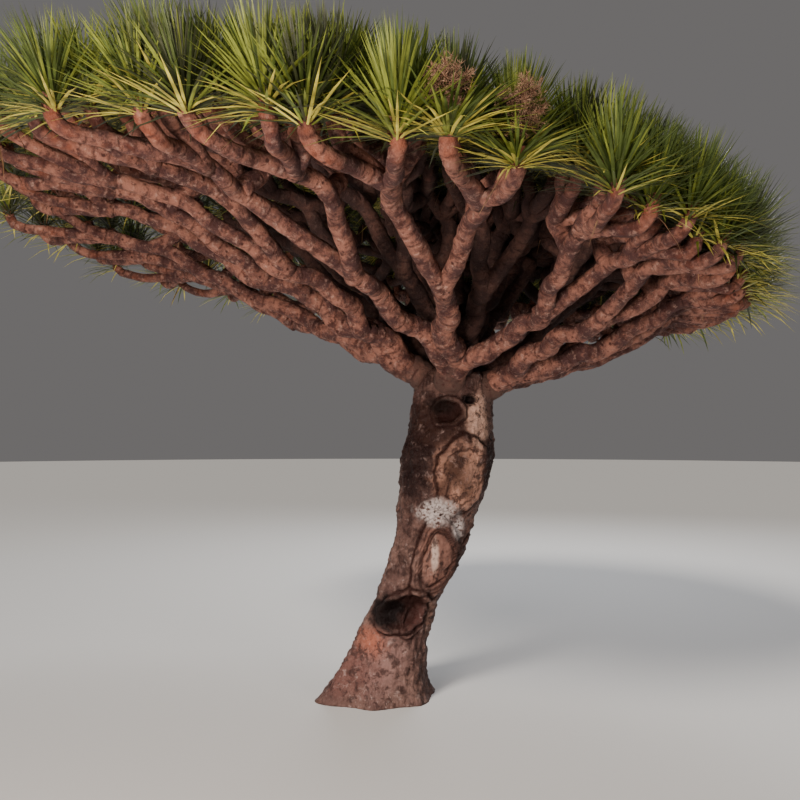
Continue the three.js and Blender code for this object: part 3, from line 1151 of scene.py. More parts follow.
@dataclass(frozen=True)
class LeafFinish:
    """A stiff, faintly glossy sword leaf."""

    tone: LeafTone
    roughness: float = 0.5
    gloss: float = 0.32
    # How much paler and darker than the tone it gets
    paler: float = 1.5
    bleached: float = 0.012
    darker: float = 0.62
    dapple: Dapple = Dapple(6.0, 3, 0.6, 0.35, 0.65)
    # The ribs' noise, then their depth in metres and strength
    rib_noise: Triple = (160.0, 2, 0.5)
    rib_relief: tuple[float, float] = (0.002, 0.4)

    def material(self) -> bpy.types.Material:
        """Builds the material: one plain colour, a little uneven, with fine ribs.

        Returns:
            The material.
        """
        shader = Shader(f"leaf_{self.tone.name.lower()}")
        colour = self.tone.value
        pale = tuple(min(part * self.paler + self.bleached, 1.0) for part in colour)
        dark = tuple(part * self.darker for part in colour)
        leaf = shader.dappled(dark, pale, self.dapple)
        ribs = shader.bump(shader.noise(*self.rib_noise), *self.rib_relief)
        return shader.finish(leaf, self.roughness, ribs, self.gloss)


@dataclass(frozen=True)
class HeadFinish:
    """Dry reddish brown flower stalks."""

    base: Colour = (0.17, 0.085, 0.052)
    pale: Colour = (0.32, 0.20, 0.125)
    dapple: Dapple = Dapple(30.0, 4, 0.55, 0.4, 0.65)
    grain_scale: float = 200.0
    grain_relief: tuple[float, float] = (0.002, 0.5)
    roughness: float = 0.9
    gloss: float = 0.2

    def material(self) -> bpy.types.Material:
        """Builds the material.

        Returns:
            The material.
        """
        shader = Shader("old_flower")
        wood = shader.dappled(self.base, self.pale, self.dapple)
        grain_bump = shader.bump(shader.noise(self.grain_scale), *self.grain_relief)
        return shader.finish(wood, self.roughness, grain_bump, self.gloss)


@dataclass(frozen=True)
class FloorFinish:
    """Plain pale studio floor."""

    colour: Colour = (0.40, 0.395, 0.39)
    roughness: float = 0.9
    gloss: float = 0.1

    def material(self) -> bpy.types.Material:
        """Builds the material."""
        return Shader("floor").finish(self.colour, self.roughness, None, self.gloss)


# The trunk


@dataclass(frozen=True)
class Scar:
    """A healed scar or a hollow: bearing, height, half sizes and relief.

    Then its lip, the rings inside the lip, its twist in degrees to the metre, and how ragged it is.
    """

    bearing: float
    height: float
    half_width: float
    half_height: float
    relief: float
    lip: float = 0.0
    ripples: float = 0.0
    twist: float = 0.0
    ragged: float = 0.08


@dataclass
class Trunk:
    """The leaning trunk, from the flat cut at ground level to the head under the boughs."""

    DRIFT = 1
    RADIUS = 2
    # A scar whose relief is lower than this is a hollow
    HOLLOW = -0.02

    # Height, drift towards +X and radius
    stations: tuple[Triple, ...] = (
        (0, 0, 0.300),
        (0.18, 0.005, 0.272),
        (0.40, 0.040, 0.250),
        (0.69, 0.140, 0.242),
        (1.00, 0.270, 0.256),
        (1.30, 0.358, 0.290),
        (1.60, 0.425, 0.338),
        (1.80, 0.452, 0.346),
        (2.02, 0.478, 0.318),
        (2.20, 0.492, 0.306),
        (2.37, 0.500, 0.296),
    )
    # Bearing, how far it stands out at ground level, and how high it climbs
    ridges: tuple[Triple, ...] = (
        (-72, 0.26, 0.28),
        (-20, 0.08, 0.20),
        (50, 0.06, 0.16),
        (115, 0.09, 0.20),
        (180, 0.09, 0.20),
        (-130, 0.13, 0.23),
    )
    ridge_half_width: float = 26
    scars: tuple[Scar, ...] = (
        Scar(22, 1.67, 0.18, 0.24, 0.034, 0.020, 0.0, 0, 0.14),
        Scar(18, 1.04, 0.15, 0.27, 0.030, 0.026, 0.010, -45, 0.05),
        Scar(-5, 0.66, 0.185, 0.135, -0.062, 0.032, 0.0, 0, 0.10),
        Scar(-8, 2.13, 0.12, 0.09, -0.034, 0.016, 0.0, 0, 0.14),
        Scar(24, 2.22, 0.05, 0.035, -0.030, 0.008, 0.0),
        Scar(24, 0.62, 0.09, 0.13, -0.012, 0.014, 0.010, 0, 0.05),
        Scar(150, 1.30, 0.14, 0.22, 0.022, 0.014, 0.005),
        Scar(-120, 1.75, 0.12, 0.20, 0.020, 0.012, 0.005),
        Scar(-165, 0.75, 0.11, 0.13, -0.030, 0.016, 0.0),
        Scar(85, 1.05, 0.10, 0.16, 0.018, 0.012, 0.004),
    )
    # How high the head domes, and how far its wall turns in, in radians
    head_dome: float = 0.12
    head_turn: float = 1.35
    sides: int = 160
    wall_rings: int = 220
    head_rings: int = 14
    # Depth of each relief in metres, then how many swells each has to the metre
    swell: float = 0.018
    grit: float = 0.008
    flute: float = 0.010
    swell_scale: float = 4.5
    grit_scale: float = 24.0
    flute_scale: float = 17.0
    flute_squeeze: float = 0.16
    # Over this height above the flat cut the relief grows from this share of its depth
    foot_height: float = 0.03
    foot_share: float = 0.4
    wander_scale: float = 7.0
    wobble: float = 0.05
    wobble_turns: float = 3
    lip_width: float = 0.2
    ripple_turns: float = 24
    deepest: float = 0.9
    # Where a hollow's floor ends, and the middles and widths of the ripples, the groove round
    # the lip and the dark rim within it, all as shares of the scar's half size
    floor_edge: tuple[float, float] = (0.8, 0.95)
    ripple_band: tuple[float, float] = (0.82, 0.26)
    groove: tuple[float, float] = (1.24, 0.10)
    rim: tuple[float, float] = (0.84, 0.06)
    groove_depth: float = 0.7
    # How dark the groove, the rim, a hollow's floor and the rings are painted: dark crust in the groove
    # and on the rim, painted shade on a hollow's floor, and darker in the rings' troughs
    mark_shares: tuple[float, ...] = (0.8, 0.6, 0.8, 0.8)

    def build(self) -> bpy.types.Object:
        """Models the trunk with the relief of its bark.

        Returns:
            The trunk, which stands for its CAD node.
        """
        rings = self.wall_rings + self.head_rings
        blank = Blank(self.sides, rings)
        top = self.stations[-1][0]
        height = top * np.minimum(blank.ring, self.wall_rings) / self.wall_rings
        dome = np.maximum(blank.ring - self.wall_rings, 0) / self.head_rings * self.head_turn
        bearing = np.degrees(blank.angle) + 90
        drift = self.station(height, self.DRIFT)
        radius, pit = self.radius(height, bearing)
        flat = radius * np.cos(dome) * ~blank.is_pole
        b = np.radians(bearing)
        way = np.stack([np.sin(b), -np.cos(b), np.zeros_like(b)], axis=1)
        middle = np.stack([drift, np.zeros_like(drift), height + self.head_dome * np.sin(dome)], axis=1)
        points = middle + way * flat[:, None]
        above_foot = np.clip(height / self.foot_height, 0, 1)
        share = self.foot_share + (1 - self.foot_share) * above_foot
        rough = self.swell * grain(points, self.swell_scale)
        rough += self.grit * grain(points, self.grit_scale, rough=0.4)
        squeezed = points * np.array([1.0, 1.0, self.flute_squeeze])
        rough += self.flute * grain(squeezed, self.flute_scale, octaves=3)
        points += way * (rough * share * ~blank.is_pole)[:, None]
        mesh = blank.copy("trunk_bark", points)
        add_values(mesh, "pit", pit)
        piece = add_piece("trunk_bark", mesh, TrunkBark().material())
        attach(piece, BODY)
        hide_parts("trunk")
        return piece

    def station(self, height: np.ndarray, column: int) -> np.ndarray:
        """Reads one column of the stations on a smooth curve.

        Args:
            height: the heights that it is read at.
            column: which column.

        Returns:
            Its value at each height.
        """
        rows = np.array(self.stations)
        last = len(rows) - 1
        low = np.clip(np.searchsorted(rows[:, 0], height, side="right") - 1, 0, last - 1)
        before = rows[np.maximum(np.arange(last + 1) - 1, 0)]
        after = rows[np.minimum(np.arange(last + 1) + 1, last)]
        slope = (after[:, column] - before[:, column]) / (after[:, 0] - before[:, 0])
        span = rows[low + 1, 0] - rows[low, 0]
        t = (height - rows[low, 0]) / span
        return (
            rows[low, column] * (2 * t**3 - 3 * t**2 + 1)
            + slope[low] * span * (t**3 - 2 * t**2 + t)
            + rows[low + 1, column] * (3 * t**2 - 2 * t**3)
            + slope[low + 1] * span * (t**3 - t**2)
        )

    def radius(self, height: np.ndarray, bearing: np.ndarray) -> tuple[np.ndarray, np.ndarray]:
        """Works out the trunk's relief.

        Args:
            height: the height of each place.
            bearing: its bearing.

        Returns:
            The radius there, and how deep in a pit or a crease it lies, from 0 to 1.
        """
        plain = self.station(height, self.RADIUS)
        total = plain.copy()
        for at, out, climb in self.ridges:
            turn = self.turn_between(at, bearing) / self.ridge_half_width
            total += out * np.exp(-turn * turn) * np.exp(-height / climb)
        pit = np.zeros_like(total)
        b = np.radians(bearing)
        places = np.stack([plain * np.sin(b), plain * np.cos(b), height], axis=1)
        wander = grain(places, self.wander_scale, octaves=3, rough=0.4)
        for scar in self.scars:
            at = scar.bearing + scar.twist * (height - scar.height)
            x = np.radians(self.turn_between(at, bearing)) * plain / scar.half_width
            z = (height - scar.height) / scar.half_height
            wobble = self.wobble * np.sin(self.wobble_turns * np.arctan2(z, x) + scar.bearing)
            far = np.hypot(x, z) + wobble + scar.ragged * wander
            total += scar.relief * np.exp(-(x * x + z * z))
            total += scar.lip * bell(far, 1.0, self.lip_width)
            ripple = bell(far, *self.ripple_band) * np.sin(far * self.ripple_turns)
            total += scar.ripples * ripple
            groove = bell(far, *self.groove)
            total -= self.groove_depth * scar.lip * groove
            sunk = (1 - smooth_step(far, *self.floor_edge)) * (scar.relief < self.HOLLOW)
            total += scar.relief * self.deepest * sunk
            rings = np.clip(-ripple, 0, 1) * (scar.ripples > 0)
            marks = (groove, bell(far, *self.rim), sunk, rings)
            for share, mark in zip(self.mark_shares, marks):
                pit = np.maximum(pit, share * mark)
        return total, pit

    @staticmethod
    def turn_between(start: float | np.ndarray, bearing: np.ndarray) -> np.ndarray:
        """Degrees from one bearing to others, from -180 to 180."""
        return (bearing - start + 180) % 360 - 180


# Boughs and twigs


@dataclass
class LimbSkin:
    """Bark over a limb: it bends a straight blank along a path and gives it relief."""

    blank: Blank
    # Sizes are shares of the limb's radius, and steps, runs and fades are metres along it
    flare: float = 0.0
    flare_run: float = 0.22
    kink: float = 0.42
    kink_step: float = 0.24
    kink_fade: float = 0.12
    root_fade: float = 0.12
    waist: float = 0.11
    waist_step: float = 0.13
    waist_run: float = 0.020
    lump: float = 0.12
    lump_scale: float = 7.0
    grit: float = 0.045
    grit_scale: float = 26.0
    # Between these runs from the root the lumps and the grit grow to their full size
    calm_from: float = -0.2
    calm_run: float = 0.35
    # From how little to how much chance makes of a gap, a waist and a kink
    gap_sizes: tuple[float, float] = (0.6, 1.4)
    waist_sizes: tuple[float, float] = (0.3, 1.0)
    kink_sizes: tuple[float, float] = (0.2, 1.0)

    def corners(
        self,
        middle: np.ndarray,
        radii: tuple[float, float],
        youth: tuple[float, float],
        phase: float,
    ) -> tuple[np.ndarray, np.ndarray, np.ndarray]:
        """Places the corners of one limb.

        Args:
            middle: the limb's middle line, one row for each ring of the blank.
            radii: its radius at the root and at the tip.
            youth: how young the wood is at the root and at the tip, from 0 to 1.
            phase: where its knuckles start.

        Returns:
            The corners, their run from the root in metres, and their youth.
        """
        steps = np.linalg.norm(np.diff(middle, axis=0), axis=1)
        run = np.concatenate([[0.0], np.cumsum(steps)])
        share = run / run[-1]
        radius = radii[0] + (radii[1] - radii[0]) * share
        luck = np.random.default_rng(int(phase * SEEDS))
        middle = self.kinked(middle, run, radius, luck)
        _, right, over = frames_along(middle)
        radius = radius * (1 + self.flare * np.exp(-run / self.flare_run))
        for waist in self.knots(run[-1], self.waist_step, luck):
            near = bell(run, waist, self.waist_run)
            radius = radius * (1 - self.waist * luck.uniform(*self.waist_sizes) * near)
        ring = self.blank.ring
        turn = self.blank.angle[:, None]
        out = np.cos(turn) * right[ring] + np.sin(turn) * over[ring]
        flat = np.where(self.blank.is_pole, 0.0, radius[ring])
        points = middle[ring] + out * flat[:, None]
        rough = self.lump * grain(points, self.lump_scale, octaves=3)
        rough += self.grit * grain(points, self.grit_scale, octaves=3, rough=0.4)
        calm = smooth_step(run[ring], self.calm_from, self.calm_run)
        points += out * (flat * rough * calm)[:, None]
        ages = youth[0] + (youth[1] - youth[0]) * share
        return points, run[ring], ages[ring]

    def knots(self, length: float, step: float, luck: np.random.Generator) -> np.ndarray:
        """Uneven places along a limb, about a step apart, with a few to spare past its end."""
        gaps = step * luck.uniform(*self.gap_sizes, int(length / step) + 3)
        return np.cumsum(gaps)

    def kinked(
        self, middle: np.ndarray, run: np.ndarray, radius: np.ndarray, luck: np.random.Generator
    ) -> np.ndarray:
        """Bends a middle line from side to side, as a limb that has forked often grows.

        Args:
            middle: the line, one row for each ring.
            run: how far along it each row lies.
            radius: the limb's radius at each row.
            luck: the limb's own chance.

        Returns:
            The line with its kinks, which fade out at both ends.
        """
        _, right, over = frames_along(middle)
        knots = np.concatenate([[0.0], self.knots(run[-1], self.kink_step, luck)])
        sides = (-1.0) ** np.arange(len(knots))
        # The mean of three rows rounds each kink
        soft = np.ones(3) / 3
        offsets = []
        for _ in range(2):
            sizes = sides * luck.uniform(*self.kink_sizes, len(knots))
            values = np.interp(run, knots, sizes)
            offsets.append(np.convolve(np.pad(values, 1, mode="edge"), soft, mode="valid"))
            sides = np.roll(sides, int(luck.integers(0, 2)))
        ends = np.minimum(run / self.root_fade, (run[-1] - run) / self.kink_fade)
        size = self.kink * radius * np.clip(ends, 0, 1)
        return middle + right * (offsets[0] * size)[:, None] + over * (offsets[1] * size)[:, None]


@dataclass
class Boughs:
    """The main limbs, each its own piece."""

    skeleton: Skeleton
    boughs: list[Bough]
    finishes: dict[Side, bpy.types.Material]
    sides: int = 30
    rings: int = 96
    main_flare: float = 0.22
    side_flare: float = 0.10
    end_youth: float = 0.5
    # Where the bark of a bough starts that forks off another
    side_run: float = 2.0
    # A bough that rises from the trunk stays straight and calm for longer than others do
    root_fade: float = 0.7
    calm_run: float = 0.9

    def main_skin(self, blank: Blank) -> LimbSkin:
        """The bark of a bough that rises from the trunk: wide and calm at its root."""
        return LimbSkin(blank, self.main_flare, root_fade=self.root_fade, calm_run=self.calm_run)

    def build(self) -> list[bpy.types.Object]:
        """Models each bough with the relief of its bark.

        Returns:
            The pieces, each of which stands for its CAD node.
        """
        blank = Blank(self.sides, self.rings)
        pieces = []
        for bough in self.boughs:
            skin = self.main_skin(blank) if bough.is_main else LimbSkin(blank, flare=self.side_flare)
            middle = bough.path.stations(self.rings + 1)
            points, run, youth = skin.corners(middle, bough.radii, (0, self.end_youth), bough.phase)
            mesh = blank.copy(f"limb_{bough.name}", points)
            add_values(mesh, "run", run if bough.is_main else run + self.side_run)
            add_values(mesh, "youth", youth)
            piece = add_piece(f"limb_{bough.name}", mesh, self.finishes[Side.of(bough.ring.name)])
            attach(piece, BODY)
            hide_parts(f"bough_{bough.name}")
            pieces.append(piece)
        return pieces


@dataclass
class Shoot:
    """One twig: its path, radii, the range of its youth, and how fine it is."""

    path: TwigPath
    radii: tuple[float, float]
    youth: tuple[float, float]
    order: int
    ring: str


@dataclass
class Tuft:
    """Where a rosette of leaves sits: its middle, the unit vector that it faces, and its seed."""

    tip: Vector
    axis: Vector
    seed: int
    ring: str
    stalk: float = 0.0

    @property
    def is_flowering(self) -> bool:
        """Whether a flower head stands in it, on a stalk."""
        return self.stalk > 0


@dataclass
class Cell:
    """The part of the crown that one bough feeds."""

    bough: Bough
    dome: Dome
    is_inside: Callable[[Vector, float], bool]
    # Metres to the shell past which it is taller, and by how much for each metre more
    stretch_from: float = 2.6
    stretch_rate: float = 0.7

    @property
    def across(self) -> Vector:
        """The level unit vector across it."""
        return UP.cross(self.bough.way).normalized()

    @property
    def over(self) -> Vector:
        """The unit vector up it."""
        return self.bough.way.cross(self.across)

    @property
    def stretch(self) -> float:
        """How much taller its upper half is where the shell lies far off."""
        return 1 + self.stretch_rate * max(self.dome.reach(self.bough.way) - self.stretch_from, 0)

    def way_to(self, x: float, y: float, luck: Chance, jitter: float, clear: float) -> Vector:
        """A way towards a place in it, drawn in until it keeps clear of the walls.

        Args:
            x: how far across it the place is, from -1 to 1.
            y: how far up it the place is, from -1 to 1.
            luck: the chance that moves the place.
            jitter: how far it may be moved.
            clear: how far from the walls it keeps.

        Returns:
            The unit vector.
        """
        ring = self.bough.ring
        high = y * self.stretch if y > 0 else y
        aside = self.across * ((x + luck.spread(jitter)) * ring.across)
        aside = aside + self.over * ((high + luck.spread(jitter)) * ring.over)
        ways = [(self.bough.way + aside * size).normalized() for size in SIZES_TRIED]
        clear_ways = (way for way in ways if self.is_inside(self.dome.point(way, 1), clear))
        return next(clear_ways, ways[-1])


@dataclass
class Twigs:
    """The twigs that go on from each bough, by the solids' rule and then finer."""

    FINEST = 3

    skeleton: Skeleton
    boughs: list[Bough]
    finishes: dict[Side, bpy.types.Material]
    # A share is of the way from the hub to the shell, and a sag is of the bough's own. Leads,
    # clearances, the neck and what is sunk are metres, and the rest are half sizes of the cell.
    fork_share: float = 0.49
    fork_low: float = 0.7
    fork_sag: float = 0.8
    twig_share: float = 0.74
    twig_low: float = 0.3
    twig_sag: float = 0.4
    fork_jitter: float = 0.15
    stem_lead: float = 0.06
    tip_clearance: float = 0.1
    # How strongly a tip turns up
    tip_lift: float = 1.5
    fine_share: float = 0.80
    fine_spread: float = 0.6
    fine_squash: float = 0.85
    fine_up: float = 0.32
    fine_jitter: float = 0.16
    fine_clearance: float = 0.045
    fine_low_share: float = 0.965
    neck: float = 0.15
    sunk: float = 0.02
    # For each order of twig from the stem to the finest: its radius at its root, with the tips'
    # own last, its youth there, and how many faces go round it and along it
    radii: tuple[float, ...] = (0.064, 0.062, 0.056, 0.046, 0.038)
    youths: tuple[float, ...] = (0.5, 0.55, 0.7, 0.85)
    sides: tuple[int, ...] = (16, 14, 12, 9)
    rings: tuple[int, ...] = (72, 60, 30, 11)
    flare: float = 0.12
    flare_run: float = 0.05
    # Where the bark of the first twig starts, and how much further on the next one's does
    bark_run: float = 3
    bark_step: float = 0.37
    shoots: list[Shoot] = field(default_factory=list)
    tufts: list[Tuft] = field(default_factory=list)

    def grow(self) -> None:
        """Works out every twig and the tuft on its end."""
        for bough in self.boughs:
            self.grow_mass(bough)

    def grow_mass(self, bough: Bough) -> None:
        """Works out the twigs of one mass of foliage: a stem that forks in two, twice over.

        Args:
            bough: the bough that carries the mass.
        """
        dome = self.skeleton.dome
        cell = Cell(bough, dome, self.skeleton.cell_test(bough, self.boughs))
        chance = Chance(bough.seed)
        fine = Chance(bough.seed + 1)

        def coarse(x: float, y: float) -> Vector:
            """A way by the solids' own rule."""
            return cell.way_to(x, y, chance, self.fork_jitter, self.tip_clearance)

        along = bough.path.tangent(1)
        root = bough.path.point(1)
        stem = [root - along * self.sunk, root + along * self.stem_lead]
        sag = bough.sag / bough.ring.over
        fork = dome.point(coarse(0, -self.fork_low - self.fork_sag * sag), self.fork_share)
        for x in (-1, 1):
            low = self.twig_low + self.twig_sag * sag
            twig_fork = dome.point(coarse(x, -low), self.twig_share)
            for y in (-1, 1):
                order = 2 if y > 0 else 0 if x < 0 else 1
                lead = ([*stem, fork, twig_fork], [fork, twig_fork], [twig_fork])[order]
                self.grow_spray(cell, x, y, coarse(x, y), lead, order, fine)

    def grow_spray(
        self,
        cell: Cell,
        x: float,
        y: float,
        way: Vector,
        lead: list[Vector],
        order: int,
        luck: Chance,
    ) -> None:
        """Adds the four twigs and tufts of one corner of a cell.

        The first of them goes on from the coarser twig that leads there.

        Args:
            cell: the cell.
            x: which side of the cell it is, -1 or 1.
            y: which end of the cell it is, -1 or 1.
            way: where the coarser twig goes by the solids' rule.
            lead: what the coarser twig goes through to get there.
            order: the order of the coarser twig.
            luck: the chance that moves the tips.
        """
        bough = cell.bough
        fine_way = (way + cell.over * (self.fine_up * bough.ring.over)).normalized()
        fine_fork = cell.dome.point(fine_way, self.fine_share)
        for dx in (-1, 1):
            for dy in (-1, 1):
                tip_way = cell.way_to(
                    x + dx * self.fine_spread,
                    y + dy * self.fine_spread * self.fine_squash + self.fine_up,
                    luck,
                    self.fine_jitter,
                    self.fine_clearance,
                )
                share = 1 - (1 - self.fine_low_share) * luck.next()
                tip = cell.dome.point(tip_way, share)
                axis = (tip_way + UP * self.tip_lift).normalized()
                points = [*lead, fine_fork, tip - axis * self.neck, tip]
                self.add_shoot(points, order, bough, luck)
                seed = 1 + int(luck.next() * SEEDS)
                self.tufts.append(Tuft(tip, axis, seed, bough.ring.name))
                lead, order = [], self.FINEST

    def add_shoot(self, points: list[Vector], order: int, bough: Bough, luck: Chance) -> None:
        """Adds one twig.

        Args:
            points: what it goes through.
            order: from 0, the stem, to the finest.
            bough: the bough that it grows from.
            luck: the chance that its sway starts by.
        """
        start = bough.radii[1] if order == 0 else self.radii[order]
        path = TwigPath(points, luck.next())
        ends = (start, self.radii[-1])
        youth = (self.youths[order], 1.0)
        self.shoots.append(Shoot(path, ends, youth, order, bough.ring.name))

    def build(self) -> list[bpy.types.Object]:
        """Models the twigs and joins them into pieces, one for each ring of boughs.

        Returns:
            The pieces.
        """
        blanks = [Blank(sides, rings) for sides, rings in zip(self.sides, self.rings)]
        pieces = []
        for ring in self.skeleton.rings:
            shoots = [shoot for shoot in self.shoots if shoot.ring == ring.name]
            mesh = self.joined(f"twigs_{ring.name}", blanks, shoots)
            piece = add_piece(mesh.name, mesh, self.finishes[Side.of(ring.name)])
            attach(piece, BODY)
            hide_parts(*(f"foliage_{b.name}" for b in self.boughs if b.ring is ring))
            pieces.append(piece)
        return pieces

    def joined(self, name: str, blanks: Sequence[Blank], shoots: Sequence[Shoot]) -> bpy.types.Mesh:
        """Bends a copy of a blank into each twig and joins them.

        Args:
            name: the mesh's name.
            blanks: the bar for each order of twig.
            shoots: the twigs.

        Returns:
            One mesh of them all.
        """
        faces = [triangles_of(blank.mesh) for blank in blanks]
        points, runs, youths, triangles = [], [], [], []
        count = 0
        for number, shoot in enumerate(shoots):
            blank = blanks[shoot.order]
            flare = 0.0 if shoot.order == 0 else self.flare
            skin = LimbSkin(blank, flare=flare, flare_run=self.flare_run)
            middle = shoot.path.stations(blank.rings + 1)
            at, run, youth = skin.corners(middle, shoot.radii, shoot.youth, shoot.path.phase)
            points.append(at)
            runs.append(run + self.bark_run + number * self.bark_step)
            youths.append(youth)
            triangles.append(faces[shoot.order] + count)
            count += len(at)
        mesh = mesh_of(name, np.concatenate(points), np.concatenate(triangles))
        mesh.polygons.foreach_set("use_smooth", np.ones(len(mesh.polygons), bool))
        add_values(mesh, "run", np.concatenate(runs))
        add_values(mesh, "youth", np.concatenate(youths))
        return mesh


# Leaves


class LeafBlank:
    """One sword leaf, modelled flat: a grid narrowed row by row to a point and folded."""

    # How wide each row of corners is, and how far along the leaf it lies
    WIDTHS = (0.72, 1.0, 0.80)
    PLACES = (0.0, 0.22, 0.62)
    FOLD = 0.22
    WELD = 1e-4

    def __init__(self) -> None:
        """Models the leaf, one unit long and one unit wide at its widest."""
        bpy.ops.object.select_all(action="DESELECT")
        last = len(self.WIDTHS)
        bpy.ops.mesh.primitive_grid_add(x_subdivisions=2, y_subdivisions=last, size=1)
        leaf = bpy.context.active_object
        rows = np.zeros(len(leaf.data.vertices) * 3)
        leaf.data.vertices.foreach_get("co", rows)
        rows = rows.reshape(-1, 3)
        row = np.rint((rows[:, 1] + 0.5) * last).astype(int)
        for number, (width, place) in enumerate(zip(self.WIDTHS, self.PLACES)):
            at = row == number
            rows[at, 0] *= width
            rows[at, 1] = place
        rows[row == last, 1] = 1.0
        rows[row == last, 0] *= 0.0
        rows[:, 2] = np.abs(rows[:, 0]) * self.FOLD
        leaf.data.vertices.foreach_set("co", rows.ravel())
        bpy.ops.object.mode_set(mode="EDIT")
        bpy.ops.mesh.select_all(action="SELECT")
        bpy.ops.mesh.remove_doubles(threshold=self.WELD)
        bpy.ops.mesh.normals_make_consistent(inside=False)
        bpy.ops.object.mode_set(mode="OBJECT")
        self.faces = triangles_of(leaf.data)
        rows = np.zeros(len(leaf.data.vertices) * 3)
        leaf.data.vertices.foreach_get("co", rows)
        self.corners = rows.reshape(-1, 3)
        bpy.data.objects.remove(leaf)


@dataclass
class LeafRows:
    """Many leaves as arrays, one row each."""

    bases: np.ndarray
    ways: np.ndarray
    sags: np.ndarray
    lengths: np.ndarray
    widths: np.ndarray
    bends: np.ndarray

    STRAIGHT = 1e-3

    def chosen(self, rows: np.ndarray) -> "LeafRows":
        """The leaves of some rows."""
        return LeafRows(*(getattr(self, name)[rows] for name in self.__dataclass_fields__))

    def corners(self, blank: LeafBlank) -> np.ndarray:
        """Bends a copy of the blank into each leaf.

        Args:
            blank: the modelled leaf.

        Returns:
            All corners, leaf after leaf.
        """
        across, along, fold = blank.corners.T
        straight = np.abs(self.bends) < self.STRAIGHT
        bend = np.where(straight, self.STRAIGHT, self.bends)[:, None]
        angle = bend * along[None, :]
        run = (np.sin(angle) / bend)[..., None]
        drop = ((1 - np.cos(angle)) / bend)[..., None]
        way = self.ways[:, None, :]
        sag = self.sags[:, None, :]
        side = np.cross(self.ways, self.sags)[:, None, :]
        line = way * run + sag * drop
        face = way * np.sin(angle)[..., None] - sag * np.cos(angle)[..., None]
        width = self.widths[:, None, None]
        points = self.bases[:, None, :] + line * self.lengths[:, None, None]
        points = points + side * (across[None, :, None] * width) + face * (fold[None, :, None] * width)
        return points.reshape(-1, 3)


